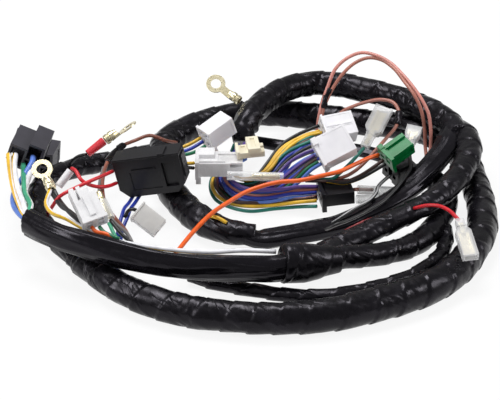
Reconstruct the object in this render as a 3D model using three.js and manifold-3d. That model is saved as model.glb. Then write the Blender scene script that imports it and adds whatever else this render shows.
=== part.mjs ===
// A coiled vehicle wiring harness: taped trunk and branches, connectors, terminals and loose wires.
// Millimetres, +Z up, lying on the plane z = 0, seen from -Y.
import * as THREE from "three";
import { mergeVertices } from "three/addons/utils/BufferGeometryUtils.js";
import Module from "manifold-3d";

// The coil's width over its outermost strands, and the width that its routes and pieces are drawn for
const coilWidth = 280;
const drawnCoilWidth = 280;

// Taped strands: outer radii
const mainTrunkRadius = 8.2;
const topTrunkRadius = 7.6;
const leftStrandRadius = 5.8;
const innerStrandRadius = 5.3;
const middleStrandRadius = 5.6;
const frontStrandRadius = 6.3;
const sleeveRadius = 6.5;
const cuffRadius = 10;
const lowStrandRadius = 3.8;
const backSleeveRadius = 3.9;
const tailStrandRadius = 3.2;

// Wires and terminals
const wireRadius = 1.05;
const thickWireRadius = 1.25;
const terminalSheet = 0.8;
const ringHoleRadius = 3.2;
const ringOuterRadius = 5.9;
const barrelRadius = 2.7;
const barrelLength = 7;
const bulletRadius = 1.9;
const sleeveWall = 0.4;
const sleeveClearance = 0.3;
const bladeWidth = 6.3;

// Facets round each tube, and the step between its rings
const trunkSides = 12;
const strandSides = 10;
const cordSides = 8;
const wireSides = 8;
const tubeSides = 12;
const trunkStep = 17;
const strandStep = 14;
const cordStep = 9;
const wireStep = 6.5;

const wasm = await Module();
wasm.setup();

// Booleans on closed geometries
function toSolid(geometry) {
  const plain = geometry.index ? geometry.toNonIndexed() : geometry.clone();
  plain.deleteAttribute("normal");
  plain.deleteAttribute("uv");
  const merged = mergeVertices(plain, 1e-3);
  const vertProperties = merged.attributes.position.array;
  const triVerts = new Uint32Array(merged.index.array);
  return new wasm.Manifold(new wasm.Mesh({ numProp: 3, vertProperties, triVerts }));
}

function toGeometry(solid) {
  const mesh = solid.getMesh();
  const positions = new THREE.BufferAttribute(new Float32Array(mesh.vertProperties), 3);
  const geometry = new THREE.BufferGeometry().setAttribute("position", positions);
  geometry.setIndex(new THREE.BufferAttribute(new Uint32Array(mesh.triVerts), 1));
  geometry.computeVertexNormals();
  return geometry;
}

function joined(geometries) {
  const solids = geometries.map(toSolid);
  return toGeometry(solids.reduce((sum, next) => sum.add(next)));
}

function cut(geometry, tools) {
  let solid = toSolid(geometry);
  for (const tool of tools) {
    solid = solid.subtract(toSolid(tool));
  }
  return toGeometry(solid);
}

// Shapes used by many pieces
function ellipseSection(radiusAcross, radiusUp, sides) {
  const points = [];
  for (let i = 0; i < sides; i += 1) {
    const turn = (2 * Math.PI * (i + 0.5)) / sides;
    points.push(new THREE.Vector2(radiusAcross * Math.cos(turn), radiusUp * Math.sin(turn)));
  }
  return new THREE.Shape(points);
}

function tubeAlong(route, radius, sides, step) {
  const points = route.map((point) => new THREE.Vector3(...point));
  const curve = new THREE.CatmullRomCurve3(points, false, "centripetal");
  const steps = Math.max(2, Math.round(curve.getLength() / step));
  const section = ellipseSection(radius, radius, sides);
  return new THREE.ExtrudeGeometry(section, { extrudePath: curve, steps, bevelEnabled: false });
}

// A block with its rear face at x = 0, running along +X, centred on Y and Z
function block(length, width, height, x = 0, y = 0, z = 0) {
  return new THREE.BoxGeometry(length, width, height).translate(x + length / 2, y, z);
}

function roundedBlock(length, width, height, corner) {
  const w = width / 2;
  const h = height / 2;
  const r = Math.min(corner, w, h);
  const outline = new THREE.Shape();
  outline.moveTo(-w + r, -h).lineTo(w - r, -h).lineTo(w, -h + r).lineTo(w, h - r);
  outline.lineTo(w - r, h).lineTo(-w + r, h).lineTo(-w, h - r).lineTo(-w, -h + r);
  const solid = new THREE.ExtrudeGeometry(outline, { depth: length, bevelEnabled: false });
  return solid.rotateX(Math.PI / 2).rotateZ(Math.PI / 2);
}

function ringTube(outerRadius, innerRadius, length, sides) {
  const profile = [
    new THREE.Vector2(innerRadius, 0),
    new THREE.Vector2(outerRadius, 0),
    new THREE.Vector2(outerRadius, length),
    new THREE.Vector2(innerRadius, length),
    new THREE.Vector2(innerRadius, 0),
  ];
  return new THREE.LatheGeometry(profile, sides).rotateZ(-Math.PI / 2);
}

const harness = new THREE.Group();
harness.name = "wiring_harness";

function addPiece(name, geometry, finish) {
  const material = new THREE.MeshStandardMaterial(finish);
  const mesh = new THREE.Mesh(geometry, material);
  mesh.name = name;
  harness.add(mesh);
  return mesh;
}

// Turns a piece so that its own +X points forward and its own +Z points up, and moves it to `at`
function aim(mesh, at, forward, up) {
  const x = new THREE.Vector3(...forward).normalize();
  const y = new THREE.Vector3(...up).cross(x).normalize();
  const z = new THREE.Vector3().crossVectors(x, y);
  mesh.quaternion.setFromRotationMatrix(new THREE.Matrix4().makeBasis(x, y, z));
  mesh.position.set(...at);
  return mesh;
}

// Finishes
const blackTape = { color: "#17161a", roughness: 0.42, metalness: 0 };
const blackPlastic = { color: "#26262b", roughness: 0.45, metalness: 0 };
const whiteNylon = { color: "#e9e8e4", roughness: 0.4, metalness: 0 };
const creamNylon = { color: "#e8dfc0", roughness: 0.4, metalness: 0 };
const greenNylon = { color: "#1f8a52", roughness: 0.35, metalness: 0 };
const clearVinyl = { color: "#dcdcd8", roughness: 0.2, metalness: 0 };
const redVinyl = { color: "#d98079", roughness: 0.35, metalness: 0 };
const brass = { color: "#c9b478", roughness: 0.3, metalness: 1 };
const wireFinish = (color) => ({ color, roughness: 0.4, metalness: 0 });

// Taped strands
// Each is a bundle of wires wound with tape. Points without a height lie on the floor.
function layStrand(name, route, radius, sides = trunkSides, step = trunkStep) {
  const points = route.map(([x, y, z = radius]) => [x, y, z]);
  addPiece(name, tubeAlong(points, radius, sides, step), blackTape);
}

layStrand("top_trunk", [
  [-4, 85, 16], [-4, 91, 22], [1, 102, 26], [11, 118, 28], [23, 132, 28], [39, 141, 27],
  [54, 140, 27], [69, 133, 27], [84, 125, 27], [98, 116, 26.2], [110, 104, 25.8], [118, 92, 25.3],
  [122, 81, 25.1], [123.2, 77, 25],
], topTrunkRadius);

layStrand("main_trunk", [
  [3, -9], [-7, -8], [-17, -3], [-30, 10], [-41, 29], [-49, 52], [-53, 77], [-51, 98],
  [-40, 114], [-24, 127], [-6, 135], [12, 138], [34, 134], [56, 128], [80, 123], [99, 116, 9],
  [116, 101, 9.4], [126, 79, 9], [130, 52], [131, 23], [129, -1], [123, -21], [115, -37], [106, -50],
  [94, -62], [80, -71], [67, -78], [46, -87], [25, -91], [8, -92], [-10, -90], [-26, -87],
  [-41, -81], [-57, -72], [-71, -60], [-82, -48], [-91, -37],
], mainTrunkRadius);

layStrand("left_strand", [
  [-91.5, -36.3, 8.4], [-98, -28, 8.7], [-105, -18, 9.3], [-112, -6, 10], [-118, 10, 10.8],
  [-121, 26, 12.4], [-119, 40, 13], [-114, 52, 11.2], [-105, 64, 9], [-94, 73, 7.5], [-80, 80], [-68, 86],
], leftStrandRadius, strandSides, strandStep);

layStrand("inner_strand", [
  [116.4, 73.4, 24.2], [113, 65, 21.5], [108, 57, 19], [100, 46, 15.8], [90, 35, 12], [77, 24, 9],
  [63, 15, 6.5], [51, 7], [36, 0], [20, -5.4], [5.8, -9],
], innerStrandRadius, strandSides, strandStep);

layStrand("middle_strand", [
  [127.2, 75, 25], [127, 56, 24.5], [121, 38, 23], [112, 22, 21], [100, 10, 18], [86, 1, 15],
  [69, -9, 12], [56, -17, 10], [49, -22, 9.5],
], middleStrandRadius, strandSides, strandStep);

layStrand("front_strand", [
  [53, -38, 12], [62, -34, 10], [73, -28, 8], [86, -20, 6.6], [98, -7], [106, 9], [112, 26],
  [112, 43], [107, 57], [100, 68],
], frontStrandRadius, strandSides, strandStep);

layStrand("front_sleeve", [
  [-119, -25, 26], [-109, -34, 26], [-100, -41, 26], [-89, -47, 26], [-76, -52, 25],
  [-60, -58, 24], [-44, -62, 22.5], [-26, -62, 20.5], [-5, -59, 18], [15.6, -55.9, 16.4],
], sleeveRadius, trunkSides, strandStep);

layStrand("tape_cuff", [[17, -54, 17.5], [31, -49.5, 15.5], [47, -43, 13]], cuffRadius, trunkSides, cordStep);

layStrand("low_strand", [
  [108.2, -8], [104.5, -21], [94, -36.5], [80, -48.5], [63, -57], [42, -63.5],
  [21, -63.5], [0, -58], [-18.5, -51.5], [-32, -44.5],
], lowStrandRadius, cordSides, cordStep);

layStrand("back_sleeve", [
  [93, 75], [85, 84], [75, 92], [61, 98], [36, 99], [18, 103], [2, 109],
], backSleeveRadius, cordSides, cordStep);

layStrand("tail_strand", [
  [82, 112.3, 14.8], [89, 106.5, 17.5], [96, 100, 19], [103, 92, 18.5], [107.2, 80, 17],
], tailStrandRadius, cordSides, cordStep);

// Wires
// The wires of one connector or terminal run together and share one node.
function layWires(name, colour, routes, radius = wireRadius) {
  const tubes = routes.map((route) => tubeAlong(route, radius, wireSides, wireStep));
  addPiece(name, joined(tubes), wireFinish(colour));
}

layWires("wires_relay_socket", "#c8cde8", [
  [[-138, 45, 29], [-136, 33, 27], [-132, 14, 26], [-127, -4, 26], [-121, -19, 26]],
  [[-134, 45, 29], [-133, 31, 29], [-129, 10, 28], [-124, -7, 28], [-120, -19, 27.5]],
  [[-124, 44.2, 24], [-125, 20, 25], [-126, 4, 25], [-123, -9, 25], [-120.5, -19, 25]],
  [[-124, 44.2, 28], [-124, 39, 27.5], [-128, 28, 24], [-131, 16, 23], [-131, 3, 23],
    [-128, -8, 23.5], [-121.5, -19, 24]],
  [[-130, 45, 22.5], [-127, 22, 25.5], [-124, 4, 27], [-119, -12, 28.5], [-118.5, -19, 28.5]],
], thickWireRadius);

layWires("wires_ring_left", "#e4e2dc", [
  [[-111, 11, 25], [-112, -2, 24], [-107, -16, 26], [-98, -28, 29.5], [-88, -36.5, 28.5],
    [-76, -43, 26.5], [-60, -49.6, 26.5],
    [-39, -52.6, 25], [-21, -52, 23.5], [-3, -48, 22], [13.7, -46, 20]],
  [[-109, 11, 25], [-106, 5, 23], [-100, -10, 25], [-94, -24, 28], [-86, -34, 27.5],
    [-75, -41.5, 25.5], [-60, -48.2, 25.5],
    [-39, -51.2, 24], [-21, -50.5, 22.5], [-3, -47, 21.5], [13.7, -45, 19.5]],
  [[-110, 10, 23.5], [-104, -2, 22.5], [-98, -14, 26], [-91, -27, 28], [-85, -34, 26.5]],
]);

layWires("wires_clear_left", "#2b7d57", [
  [[-83.5, -41.6, 32.6], [-81, -44, 31.2], [-76, -45.4, 30.8], [-70.5, -47.8, 29.7]],
  [[-79.5, -41.3, 32.6], [-77, -44, 31], [-73, -46.6, 30.4], [-68.6, -48.7, 29.6]],
]);

layWires("wires_bullet_left", "#1a1a1c", [
  [[-75.6, -17.8, 22.6], [-69, -28, 20], [-60, -40, 19], [-50, -51, 19.5], [-45.5, -54, 20.5]],
  [[-76.4, -19, 21.4], [-71, -31, 18.5], [-61, -42, 18], [-51, -52, 18.5], [-46, -54.8, 19.7]],
]);

layWires("wire_ring_red", "#1c1c1f", [[
  [-104.8, 58.2, 15.3], [-102, 58, 19], [-99, 56, 22], [-96, 52.6, 24.6], [-94.5, 51.1, 25.6],
]]);

layWires("wires_red", "#a81f2a", [
  [[-99.8, 22.8, 32.3], [-97.6, 20.4, 32.4], [-93.5, 14, 29.5], [-89, 14, 26.5],
    [-83.2, 15.9, 24.2], [-78.6, 21.6, 21.9], [-75.5, 27, 20.5]],
  [[-105, 4, 25], [-98, 8.7, 27], [-90, 13.8, 28.6], [-83, 20.4, 28.6], [-77.3, 27.9, 27.6]],
]);

layWires("wires_brown_grey", "#9a6b5c", [
  [[-44, 86, 14.8], [-50, 79, 20], [-59, 74, 26], [-67, 70, 25], [-76, 63, 24], [-81, 52, 23],
    [-83, 39, 22], [-83, 22, 21], [-80, 4, 20], [-74, -9, 19], [-67, -22, 18],
    [-62.5, -36, 16], [-61, -46, 16.3], [-60, -51.5, 18.7]],
  [[-84, 45, 20.5], [-85, 30, 19.5], [-84, 15, 19], [-80, 2, 18.5], [-74, -12, 18], [-66, -25, 18],
    [-61.5, -38, 15.8], [-59.8, -47, 16], [-59.2, -52, 18.6]],
]);

layWires("wires_flasher", "#26337a", [
  [[-66.5, 31, 9.9], [-68.3, 20, 11.6], [-70, 8, 15], [-70.5, -3, 17.2], [-72, -12, 14],
    [-72, -26, 12], [-70, -38, 14],
    [-66, -46, 17], [-63, -50.5, 19.5]],
  [[-62.5, 30.5, 10.9], [-64.8, 20, 11.7], [-66.6, 8, 14.6], [-67.4, -3.5, 16.4], [-70, -13, 13],
    [-70, -26, 11], [-68, -38, 13.5],
    [-65, -46, 16.5], [-63, -51, 19]],
  [[-62.5, -4.7, 21.2], [-65, -3.6, 21.4], [-67.5, -3.2, 19.2], [-68.8, -5, 16.6]],
]);

layWires("wires_rear_white", "#c9a83a", [
  [[-29, 75.5, 23.6], [-36, 72, 21], [-43, 69.5, 19.5], [-49, 71, 18]],
  [[-27.5, 72, 23.1], [-35, 68.5, 20], [-42, 67, 18.5], [-49, 70, 17.5]],
  [[-26, 68.5, 22.1], [-33, 65, 19.5], [-41, 65, 17.8], [-49, 69, 17.2]],
]);

layWires("wires_latch", "#c9a83a", [
  [[-32.4, 44, 24], [-36, 49, 21], [-41, 55, 18.2], [-45.5, 57.5, 17.4]],
  [[-32.4, 41, 22.5], [-36, 47, 19.5], [-41, 54, 17.2], [-45.5, 56.5, 16.8]],
]);

layWires("orange_wire", "#e0712f", [[
  [-40.8, -55, 21], [-37, -42, 20], [-29, -22, 20], [-21, -6, 20], [-12, 8, 19], [-3, 17, 20],
  [7, 21, 22], [17, 22, 24], [28, 22, 25], [39, 25, 26], [51, 30, 26.5], [60, 36.5, 27.5],
  [67, 42, 28], [73.7, 46.6, 28],
]], thickWireRadius);

layWires("wires_ring_top", "#1b1b1e", [
  [[-5.6, 122, 24], [-3, 120.5, 22.5], [0, 119, 21], [4.4, 116.8, 20.2]],
  [[-5.4, 120.5, 23.6], [-3, 119, 22], [0, 118, 20.3], [4, 115.8, 19.6]],
]);

layWires("wires_centre", "#2f4fae", [
  [[-5, 81, 12], [-15, 67, 12], [-21, 58, 9], [-23, 48, 6], [-20, 39, 3], [-12, 32, 2],
    [0, 27, 2], [14, 28, 3], [29, 27, 5], [38, 24, 7]],
  [[-5, 81, 12], [-15, 65, 13], [-20, 56, 10], [-22, 46, 8], [-18, 38, 5], [-11, 34, 3],
    [1, 29, 4], [15, 29, 5], [28, 27, 8], [38, 27, 9]],
  [[-5, 81, 12], [-13, 68, 13], [-18, 57, 11], [-20, 45, 9], [-16, 39, 6], [-9, 33, 5],
    [3, 30, 6], [17, 31, 7], [30, 29, 9], [38, 30, 10]],
  [[-5, 81, 12], [-11, 66, 14], [-15, 53, 13], [-15, 44, 11], [-10, 37, 9], [-1, 32, 8],
    [10, 30, 9], [23, 31, 11], [31, 32, 11], [38, 33, 11]],
  [[-5, 81, 12], [-9, 64, 15], [-12, 54, 14], [-12, 44, 13], [-6, 36, 12], [3, 32, 12],
    [14, 31, 13], [27, 34, 13], [38, 36, 12]],
  [[-5, 81, 12], [-14, 64, 11], [-16, 51, 9], [-10, 43, 7], [0, 37, 8], [10, 39, 11],
    [19, 48, 15], [27, 60, 22], [34, 66, 25], [41, 68, 27.6]],
  [[-5, 81, 12], [-12, 62, 12], [-12, 52, 10], [-5, 44, 9], [5, 43, 11], [14, 53, 16],
    [22, 62, 22], [31, 66, 25], [41, 71, 27.6]],
  [[-5, 81, 12], [-10, 58, 13], [-7, 48, 12], [1, 46, 13], [9, 50, 16], [16, 60, 20],
    [23, 67, 24], [33, 73, 27], [41, 74, 28.6]],
  [[-5, 81, 12], [-16, 62, 8], [-16, 49, 6], [-8, 41, 4], [3, 36, 6], [14, 38, 10],
    [24, 42, 17], [32, 42, 24], [38.2, 42.2, 28.3]],
  [[-5, 81, 12], [-18, 66, 7], [-19, 49, 5], [-10, 39, 3], [3, 35, 4], [15, 35, 9],
    [26, 38, 16], [33, 38, 24], [39, 39.4, 27.6]],
]);

layWires("wires_pink_brown_arc", "#a77a6a", [
  [[49, 99, 8.2], [50, 100, 19], [55, 102, 27], [62, 102, 31], [70, 100, 35], [78, 97, 38],
    [85, 93, 38], [88, 86, 35], [86, 77, 31], [80, 68, 28], [73, 58, 25], [66, 50, 21],
    [60, 45, 18], [54.5, 42, 16.3]],
]);

layWires("wire_blade_green", "#2c6f63", [[
  [66, 60, 25], [62, 54, 23.5], [57, 47, 21.5], [52, 43, 18.5], [48, 40.5, 16],
]]);

layWires("wires_green_connector", "#2a2620", [
  [[76.4, 43.7, 26.3], [70, 41, 22.5], [62, 38, 18.5], [54, 36, 16.2]],
  [[77.4, 40.8, 25.3], [70, 38.5, 21.5], [62, 36.5, 17.8], [54, 35, 16]],
]);

layWires("wire_striped", "#8d8a86", [[
  [80.5, 48.5, 13], [76, 43, 12], [73, 36, 12.5], [71.5, 27, 14], [67, 17, 14.6], [58, 9, 14],
  [49, 1, 13], [46, -8, 14], [49, -14.5, 15.6],
]]);

layWires("wire_front_black", "#8a5a4c", [[
  [59.3, 37, 10.5], [62, 39, 9.6], [66, 40.5, 8.6], [71, 41.6, 7.8],
]]);

layWires("wire_thin_black", "#1b1b1e", [[
  [92.3, 61.4, 25.7], [92.5, 56, 22.5], [92, 44, 20.5], [88, 35.5, 19], [82, 26, 16.5], [74, 16, 14.2], [64, 8, 12.4],
  [54, 0, 11.8], [47, -4, 11.3],
]]);

layWires("wires_pink_loop", "#c99a94", [
  [[40, 98, 8.2], [41, 100, 22], [43, 104, 31], [47, 110, 41], [51, 115, 49], [58, 120, 54],
    [67, 122, 57], [76, 118, 57], [84, 112, 55], [90, 104, 52], [96, 95, 48], [101, 87.5, 43],
    [105, 82.5, 36], [106.5, 79, 27], [106.5, 75, 18], [105.5, 71, 13.5]],
  [[41.5, 98, 8.2], [42.5, 100, 22], [45, 104, 31], [50, 109, 40], [56, 114, 47], [63, 118, 52],
    [71, 119, 55], [79, 116, 55], [86, 108, 53], [91, 98, 50], [97, 88, 45],
    [101, 83.5, 37], [103, 81, 27], [103.5, 77, 18], [104, 71.5, 13.3]],
]);

layWires("wire_red_blade", "#c03a35", [[
  [90.5, -1.2, 20.4], [97, -6, 25], [103, -10, 27], [108, -17, 28], [112, -26, 27.6],
]]);

// Connector housings
// Nylon mouldings with a rear flange for the wires and narrow contact slots in the mating face.
function housing({ length, width, height, flange = 1.2, columns = 2, rows = 2 }) {
  const flangeLength = 3;
  const wall = 1.2;
  const edge = 1;
  const slotWidth = Math.min(3.6, width / columns - wall);
  const slotHeight = Math.min(1.6, height / rows - wall);
  const slotDepth = 0.45 * length;
  const body = roundedBlock(length, width, height, edge);
  const rim = roundedBlock(flangeLength, width + 2 * flange, height + 2 * flange, edge);
  const slots = [];
  for (let column = 0; column < columns; column += 1) {
    for (let row = 0; row < rows; row += 1) {
      const y = width * ((column + 0.5) / columns - 0.5);
      const z = height * ((row + 0.5) / rows - 0.5);
      slots.push(block(slotDepth + 1, slotWidth, slotHeight, length - slotDepth, y, z));
    }
  }
  return cut(joined([body, rim]), slots);
}

function addHousing(name, sizes, finish, at, forward, up) {
  aim(addPiece(name, housing(sizes), finish), at, forward, up);
}

addHousing(
  "connector_rear_white", { length: 18.5, width: 11.5, height: 11.5 }, whiteNylon,
  [-26.5, 72.5, 24.6], [0.76, 0.56, 0.33], [-0.27, -0.2, 0.94],
);
addHousing(
  "latch_connector", { length: 27, width: 17, height: 9, flange: 1, columns: 3 }, clearVinyl,
  [-31.2, 43, 24], [1, 0, 0], [0, 0, 1],
);
addHousing(
  "connector_white_back", { length: 19, width: 15, height: 11 }, whiteNylon,
  [42.5, 72, 29.4], [0.96, 0.28, 0.07], [0.08, -0.51, 0.86],
);
addHousing(
  "connector_white_front", { length: 21, width: 17, height: 11 }, whiteNylon,
  [38.5, 42, 30], [0.89, 0.27, 0.37], [-0.1, -0.67, 0.73],
);
addHousing(
  "green_connector", { length: 17, width: 12, height: 9, rows: 1 }, greenNylon,
  [77.3, 43.5, 27], [0.8, 0.46, 0.38], [-0.19, -0.41, 0.89],
);
addHousing(
  "black_connector", { length: 15, width: 13, height: 9, columns: 3, rows: 1 }, blackPlastic,
  [81, 49.5, 14], [0.85, 0.52, 0.1], [0, -0.2, 0.98],
);
addHousing(
  "front_black_connector", { length: 19, width: 17, height: 8, flange: 1, columns: 3, rows: 1 }, blackPlastic,
  [39.5, 32, 10], [0.99, 0.15, 0.05], [-0.05, -0.01, 1],
);
addHousing(
  "plate_connector", { length: 16, width: 11, height: 7, flange: 0.8, rows: 1 }, creamNylon,
  [-62, -5, 20.8], [0.69, -0.36, -0.4], [0.16, -0.77, 0.62],
);
addHousing(
  "left_clear_connector", { length: 22, width: 13, height: 9, flange: 0.5 }, clearVinyl,
  [-81.5, -40, 33.9], [-0.42, 0.75, 0.51], [0.08, -0.53, 0.85],
);

// Cream clip: a flat body with an upright tab
function clip() {
  const length = 16;
  const width = 9;
  const thickness = 5;
  const edge = 0.8;
  const tabLength = length / 2;
  const tabWidth = 13;
  const tabHeight = 3;
  const tabStart = 6;
  const tabMiddle = (thickness + tabHeight) / 2 - 1;
  const tab = block(tabLength, tabWidth, tabHeight, tabStart, 1, tabMiddle);
  return joined([roundedBlock(length, width, thickness, edge), tab]);
}
aim(
  addPiece("cream_clip", clip(), creamNylon),
  [-8, 44, 31.6], [0.99, 0.14, 0.04], [-0.01, -0.1, 0.99],
);

// Relay sockets: open at the rear, where the wires enter, and slotted in front
function relaySocket(side, length) {
  const wall = 1.6;
  const divider = 1.4;
  const pocketDepth = 8;
  const slotWidth = 3.4;
  const slotHeight = 1.4;
  const slotDepth = 6;
  const shoulder = 6;
  const edge = 0.8;
  const pocket = (side - 2 * wall - divider) / 2;
  const offset = (pocket + divider) / 2;
  const cuts = [];
  for (const y of [-offset, offset]) {
    for (const z of [-offset, offset]) {
      cuts.push(block(pocketDepth + 1, pocket, pocket, -1, y, z));
      cuts.push(block(slotDepth + 1, slotWidth, slotHeight, length - slotDepth, y, z));
    }
  }
  cuts.push(block(shoulder + 1, side / 2, side + 2, length - shoulder, side / 2, 0));
  return cut(roundedBlock(length, side, side, edge), cuts);
}
aim(
  addPiece("relay_socket", relaySocket(20, 20), blackPlastic),
  [-129, 45.6, 27.4], [0.17, 0.98, 0.1], [0.34, -0.16, 0.93],
);
aim(
  addPiece("relay_socket_rear", relaySocket(16, 18), blackPlastic),
  [-124, 66.6, 10.5], [0.17, 0.99, 0.01], [0.1, -0.02, 1],
);

// Flasher box: a closed moulded case with chamfered ends and a ledge across its face
function flasherBox() {
  const length = 39;
  const face = 24;
  const depth = 13;
  const chamfer = 5;
  const ledgeLength = 16;
  const ledgeWidth = 2;
  const outline = new THREE.Shape();
  const x = length / 2;
  const y = face / 2;
  outline.moveTo(-x + chamfer, -y).lineTo(x - chamfer, -y).lineTo(x, -y + chamfer);
  outline.lineTo(x, y).lineTo(-x, y).lineTo(-x, -y + chamfer);
  const shell = new THREE.ExtrudeGeometry(outline, { depth, bevelEnabled: false });
  shell.translate(length / 2, 0, -depth / 2);
  const ledge = block(ledgeLength, ledgeWidth, ledgeWidth, 9, y - 5.5, depth / 2);
  return joined([shell, ledge]);
}
aim(
  addPiece("flasher_box", flasherBox(), blackPlastic),
  [-74.2, 33.6, 22.3], [0.95, -0.16, 0.22], [-0.17, -0.97, 0.01],
);

// Ring terminals: a stamped ring and tongue with a rolled barrel, brass sheet
function ringTerminal(reach) {
  const outline = new THREE.Shape();
  const neck = 2.4;
  const meet = Math.asin(neck / ringOuterRadius);
  outline.moveTo(barrelLength - 1, -neck);
  outline.lineTo(reach - ringOuterRadius * Math.cos(meet), -neck);
  outline.absarc(reach, 0, ringOuterRadius, Math.PI + meet, Math.PI - meet + 2 * Math.PI, false);
  outline.lineTo(barrelLength - 1, neck);
  const hole = new THREE.Path();
  hole.absarc(reach, 0, ringHoleRadius, 0, 2 * Math.PI, true);
  outline.holes.push(hole);
  const plate = new THREE.ExtrudeGeometry(outline, {
    depth: terminalSheet,
    bevelEnabled: false,
    curveSegments: 14,
  });
  plate.translate(0, 0, -barrelRadius + terminalSheet / 4);
  const barrel = ringTube(barrelRadius, barrelRadius - terminalSheet, barrelLength, tubeSides);
  return joined([plate, barrel]);
}
aim(
  addPiece("ring_terminal_left", ringTerminal(15), brass),
  [-110.5, 12, 25], [-0.41, 0.76, 0.51], [0, -0.56, 0.83],
);
aim(
  addPiece("ring_terminal_top", ringTerminal(19), brass),
  [-6.5, 121.8, 24.5], [-0.76, 0.48, 0.43], [0, -0.67, 0.74],
);
aim(
  addPiece("ring_terminal_red", ringTerminal(15), brass),
  [-83.5, 57.5, 31.5], [0.76, 0.48, 0.43], [-0.46, 0.25, 0.85],
);
aim(
  addPiece("red_sleeve", ringTube(2.2, 1.6, 12, tubeSides), redVinyl),
  [-93.5, 51.3, 26.2], [0.76, 0.48, 0.43], [-0.07, -0.6, 0.8],
);

// Bullet terminals in clear sleeves
const bulletSleeveBore = bulletRadius + sleeveClearance;
const bulletSleeveRadius = bulletSleeveBore + sleeveWall;
function bullet(length) {
  const tip = 0.7 * bulletRadius;
  const profile = [
    new THREE.Vector2(0, 0),
    new THREE.Vector2(bulletRadius, 0),
    new THREE.Vector2(bulletRadius, length - tip),
    new THREE.Vector2(tip, length),
    new THREE.Vector2(0, length),
  ];
  return new THREE.LatheGeometry(profile, tubeSides).rotateZ(-Math.PI / 2);
}
aim(
  addPiece("bullet_sleeve_centre", ringTube(bulletSleeveRadius, bulletSleeveBore, 32, tubeSides), clearVinyl),
  [19, 31, 22], [-1, 0.01, 0.03], [0.03, 0, 1],
);
aim(addPiece("bullet_centre", bullet(16), brass), [17, 31, 22], [-1, 0.01, 0.03], [0.03, 0, 1]);
aim(
  addPiece("bullet_sleeve_left", ringTube(bulletSleeveRadius, bulletSleeveBore, 12, tubeSides), clearVinyl),
  [-75.5, -17, 23], [-0.41, 0.76, 0.5], [0.08, -0.52, 0.85],
);
aim(addPiece("bullet_left", bullet(17), brass), [-76, -16, 23.5], [-0.41, 0.76, 0.5], [0.08, -0.52, 0.85]);
aim(
  addPiece("bullet_sleeve_right", ringTube(bulletSleeveRadius, bulletSleeveBore, 22, tubeSides), clearVinyl),
  [62, 39, 9.4], [0.97, 0.2, -0.16], [0.16, 0, 0.98],
);
aim(
  addPiece("bullet_sleeve_low", ringTube(bulletSleeveRadius, bulletSleeveBore, 16, tubeSides), clearVinyl),
  [61, 33.1, 6.4], [0.97, 0.22, -0.1], [0.1, 0, 0.98],
);
aim(
  addPiece("tube_end", ringTube(2.3, 1.5, 11, tubeSides), whiteNylon),
  [-107, 17, 24], [0.6, 0.48, 0.64], [-0.09, -0.75, 0.65],
);

// Blade sleeves: flat clear covers over a blade terminal
function bladeSleeve({ neck, neckLength, mouth, length }) {
  const thickness = 4.6;
  const shoulderLength = 3;
  const shell = new THREE.Shape();
  const n = neck / 2;
  const m = mouth / 2;
  const shoulder = neckLength + shoulderLength;
  shell.moveTo(0, -n).lineTo(neckLength, -n).lineTo(shoulder, -m).lineTo(length, -m);
  shell.lineTo(length, m).lineTo(shoulder, m).lineTo(neckLength, n).lineTo(0, n);
  const outer = new THREE.ExtrudeGeometry(shell, { depth: thickness, bevelEnabled: false });
  outer.translate(0, 0, -thickness / 2);
  const slot = block(length, bladeWidth + sleeveClearance, terminalSheet + 1, shoulder, 0, 0);
  return cut(outer, [slot]);
}
function addBladeSleeve(name, sizes, at, forward, up) {
  aim(addPiece(name, bladeSleeve(sizes), clearVinyl), at, forward, up);
}

addBladeSleeve(
  "blade_sleeve_back", { neck: 5, neckLength: 9, mouth: 10.5, length: 27 },
  [66.5, 60.6, 25.5], [0.45, 0.65, 0.61], [-0.13, -0.63, 0.76],
);
addBladeSleeve(
  "blade_sleeve_green", { neck: 6, neckLength: 4, mouth: 9, length: 13 },
  [92.5, 62, 26], [0.3, 0.84, 0.45], [-0.05, -0.45, 0.89],
);
addBladeSleeve(
  "blade_sleeve_front", { neck: 4.6, neckLength: 6, mouth: 8.6, length: 27 },
  [112.2, -26.6, 27.4], [0.14, -0.93, -0.26], [0, -0.27, 0.96],
);

// A harness coiled wider is a larger harness of the same make, centred over the origin on the plane z = 0
harness.scale.setScalar(coilWidth / drawnCoilWidth);
const extent = new THREE.Box3().setFromObject(harness);
const middle = extent.getCenter(new THREE.Vector3());
harness.position.set(-middle.x, -middle.y, -extent.min.z);

export default harness;
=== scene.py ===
# A coiled vehicle wiring harness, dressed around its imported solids.
# Metres, +Z up, lying on the floor and seen from -Y. The routes are laid out around the middle of the coil.
import math

import bmesh
import bpy
from mathutils import Matrix, Vector, noise


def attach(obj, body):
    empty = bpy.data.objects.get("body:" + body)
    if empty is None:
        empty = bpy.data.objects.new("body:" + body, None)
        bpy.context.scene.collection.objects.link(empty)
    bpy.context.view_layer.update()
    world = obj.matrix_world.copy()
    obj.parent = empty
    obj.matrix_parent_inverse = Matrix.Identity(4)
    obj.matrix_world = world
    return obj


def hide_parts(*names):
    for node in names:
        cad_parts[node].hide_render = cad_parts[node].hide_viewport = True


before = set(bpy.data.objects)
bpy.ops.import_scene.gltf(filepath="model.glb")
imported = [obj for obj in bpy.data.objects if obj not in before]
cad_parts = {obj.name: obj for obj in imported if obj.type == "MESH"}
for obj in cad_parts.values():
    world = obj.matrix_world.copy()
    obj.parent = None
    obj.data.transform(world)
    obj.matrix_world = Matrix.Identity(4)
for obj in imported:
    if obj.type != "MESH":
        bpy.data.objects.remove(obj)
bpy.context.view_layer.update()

# Bench, light and camera
# The harness lies on a white table under soft studio light. It is seen from the front, 30 degrees above the
# table, from just under a metre away, and the table is bright enough to go white around it.
coil_middle = Vector((0.0013813, -0.024399, 0.0000181))
view_elevation = math.radians(30)
view_distance = 0.95
view_focal = 124.3
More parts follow.
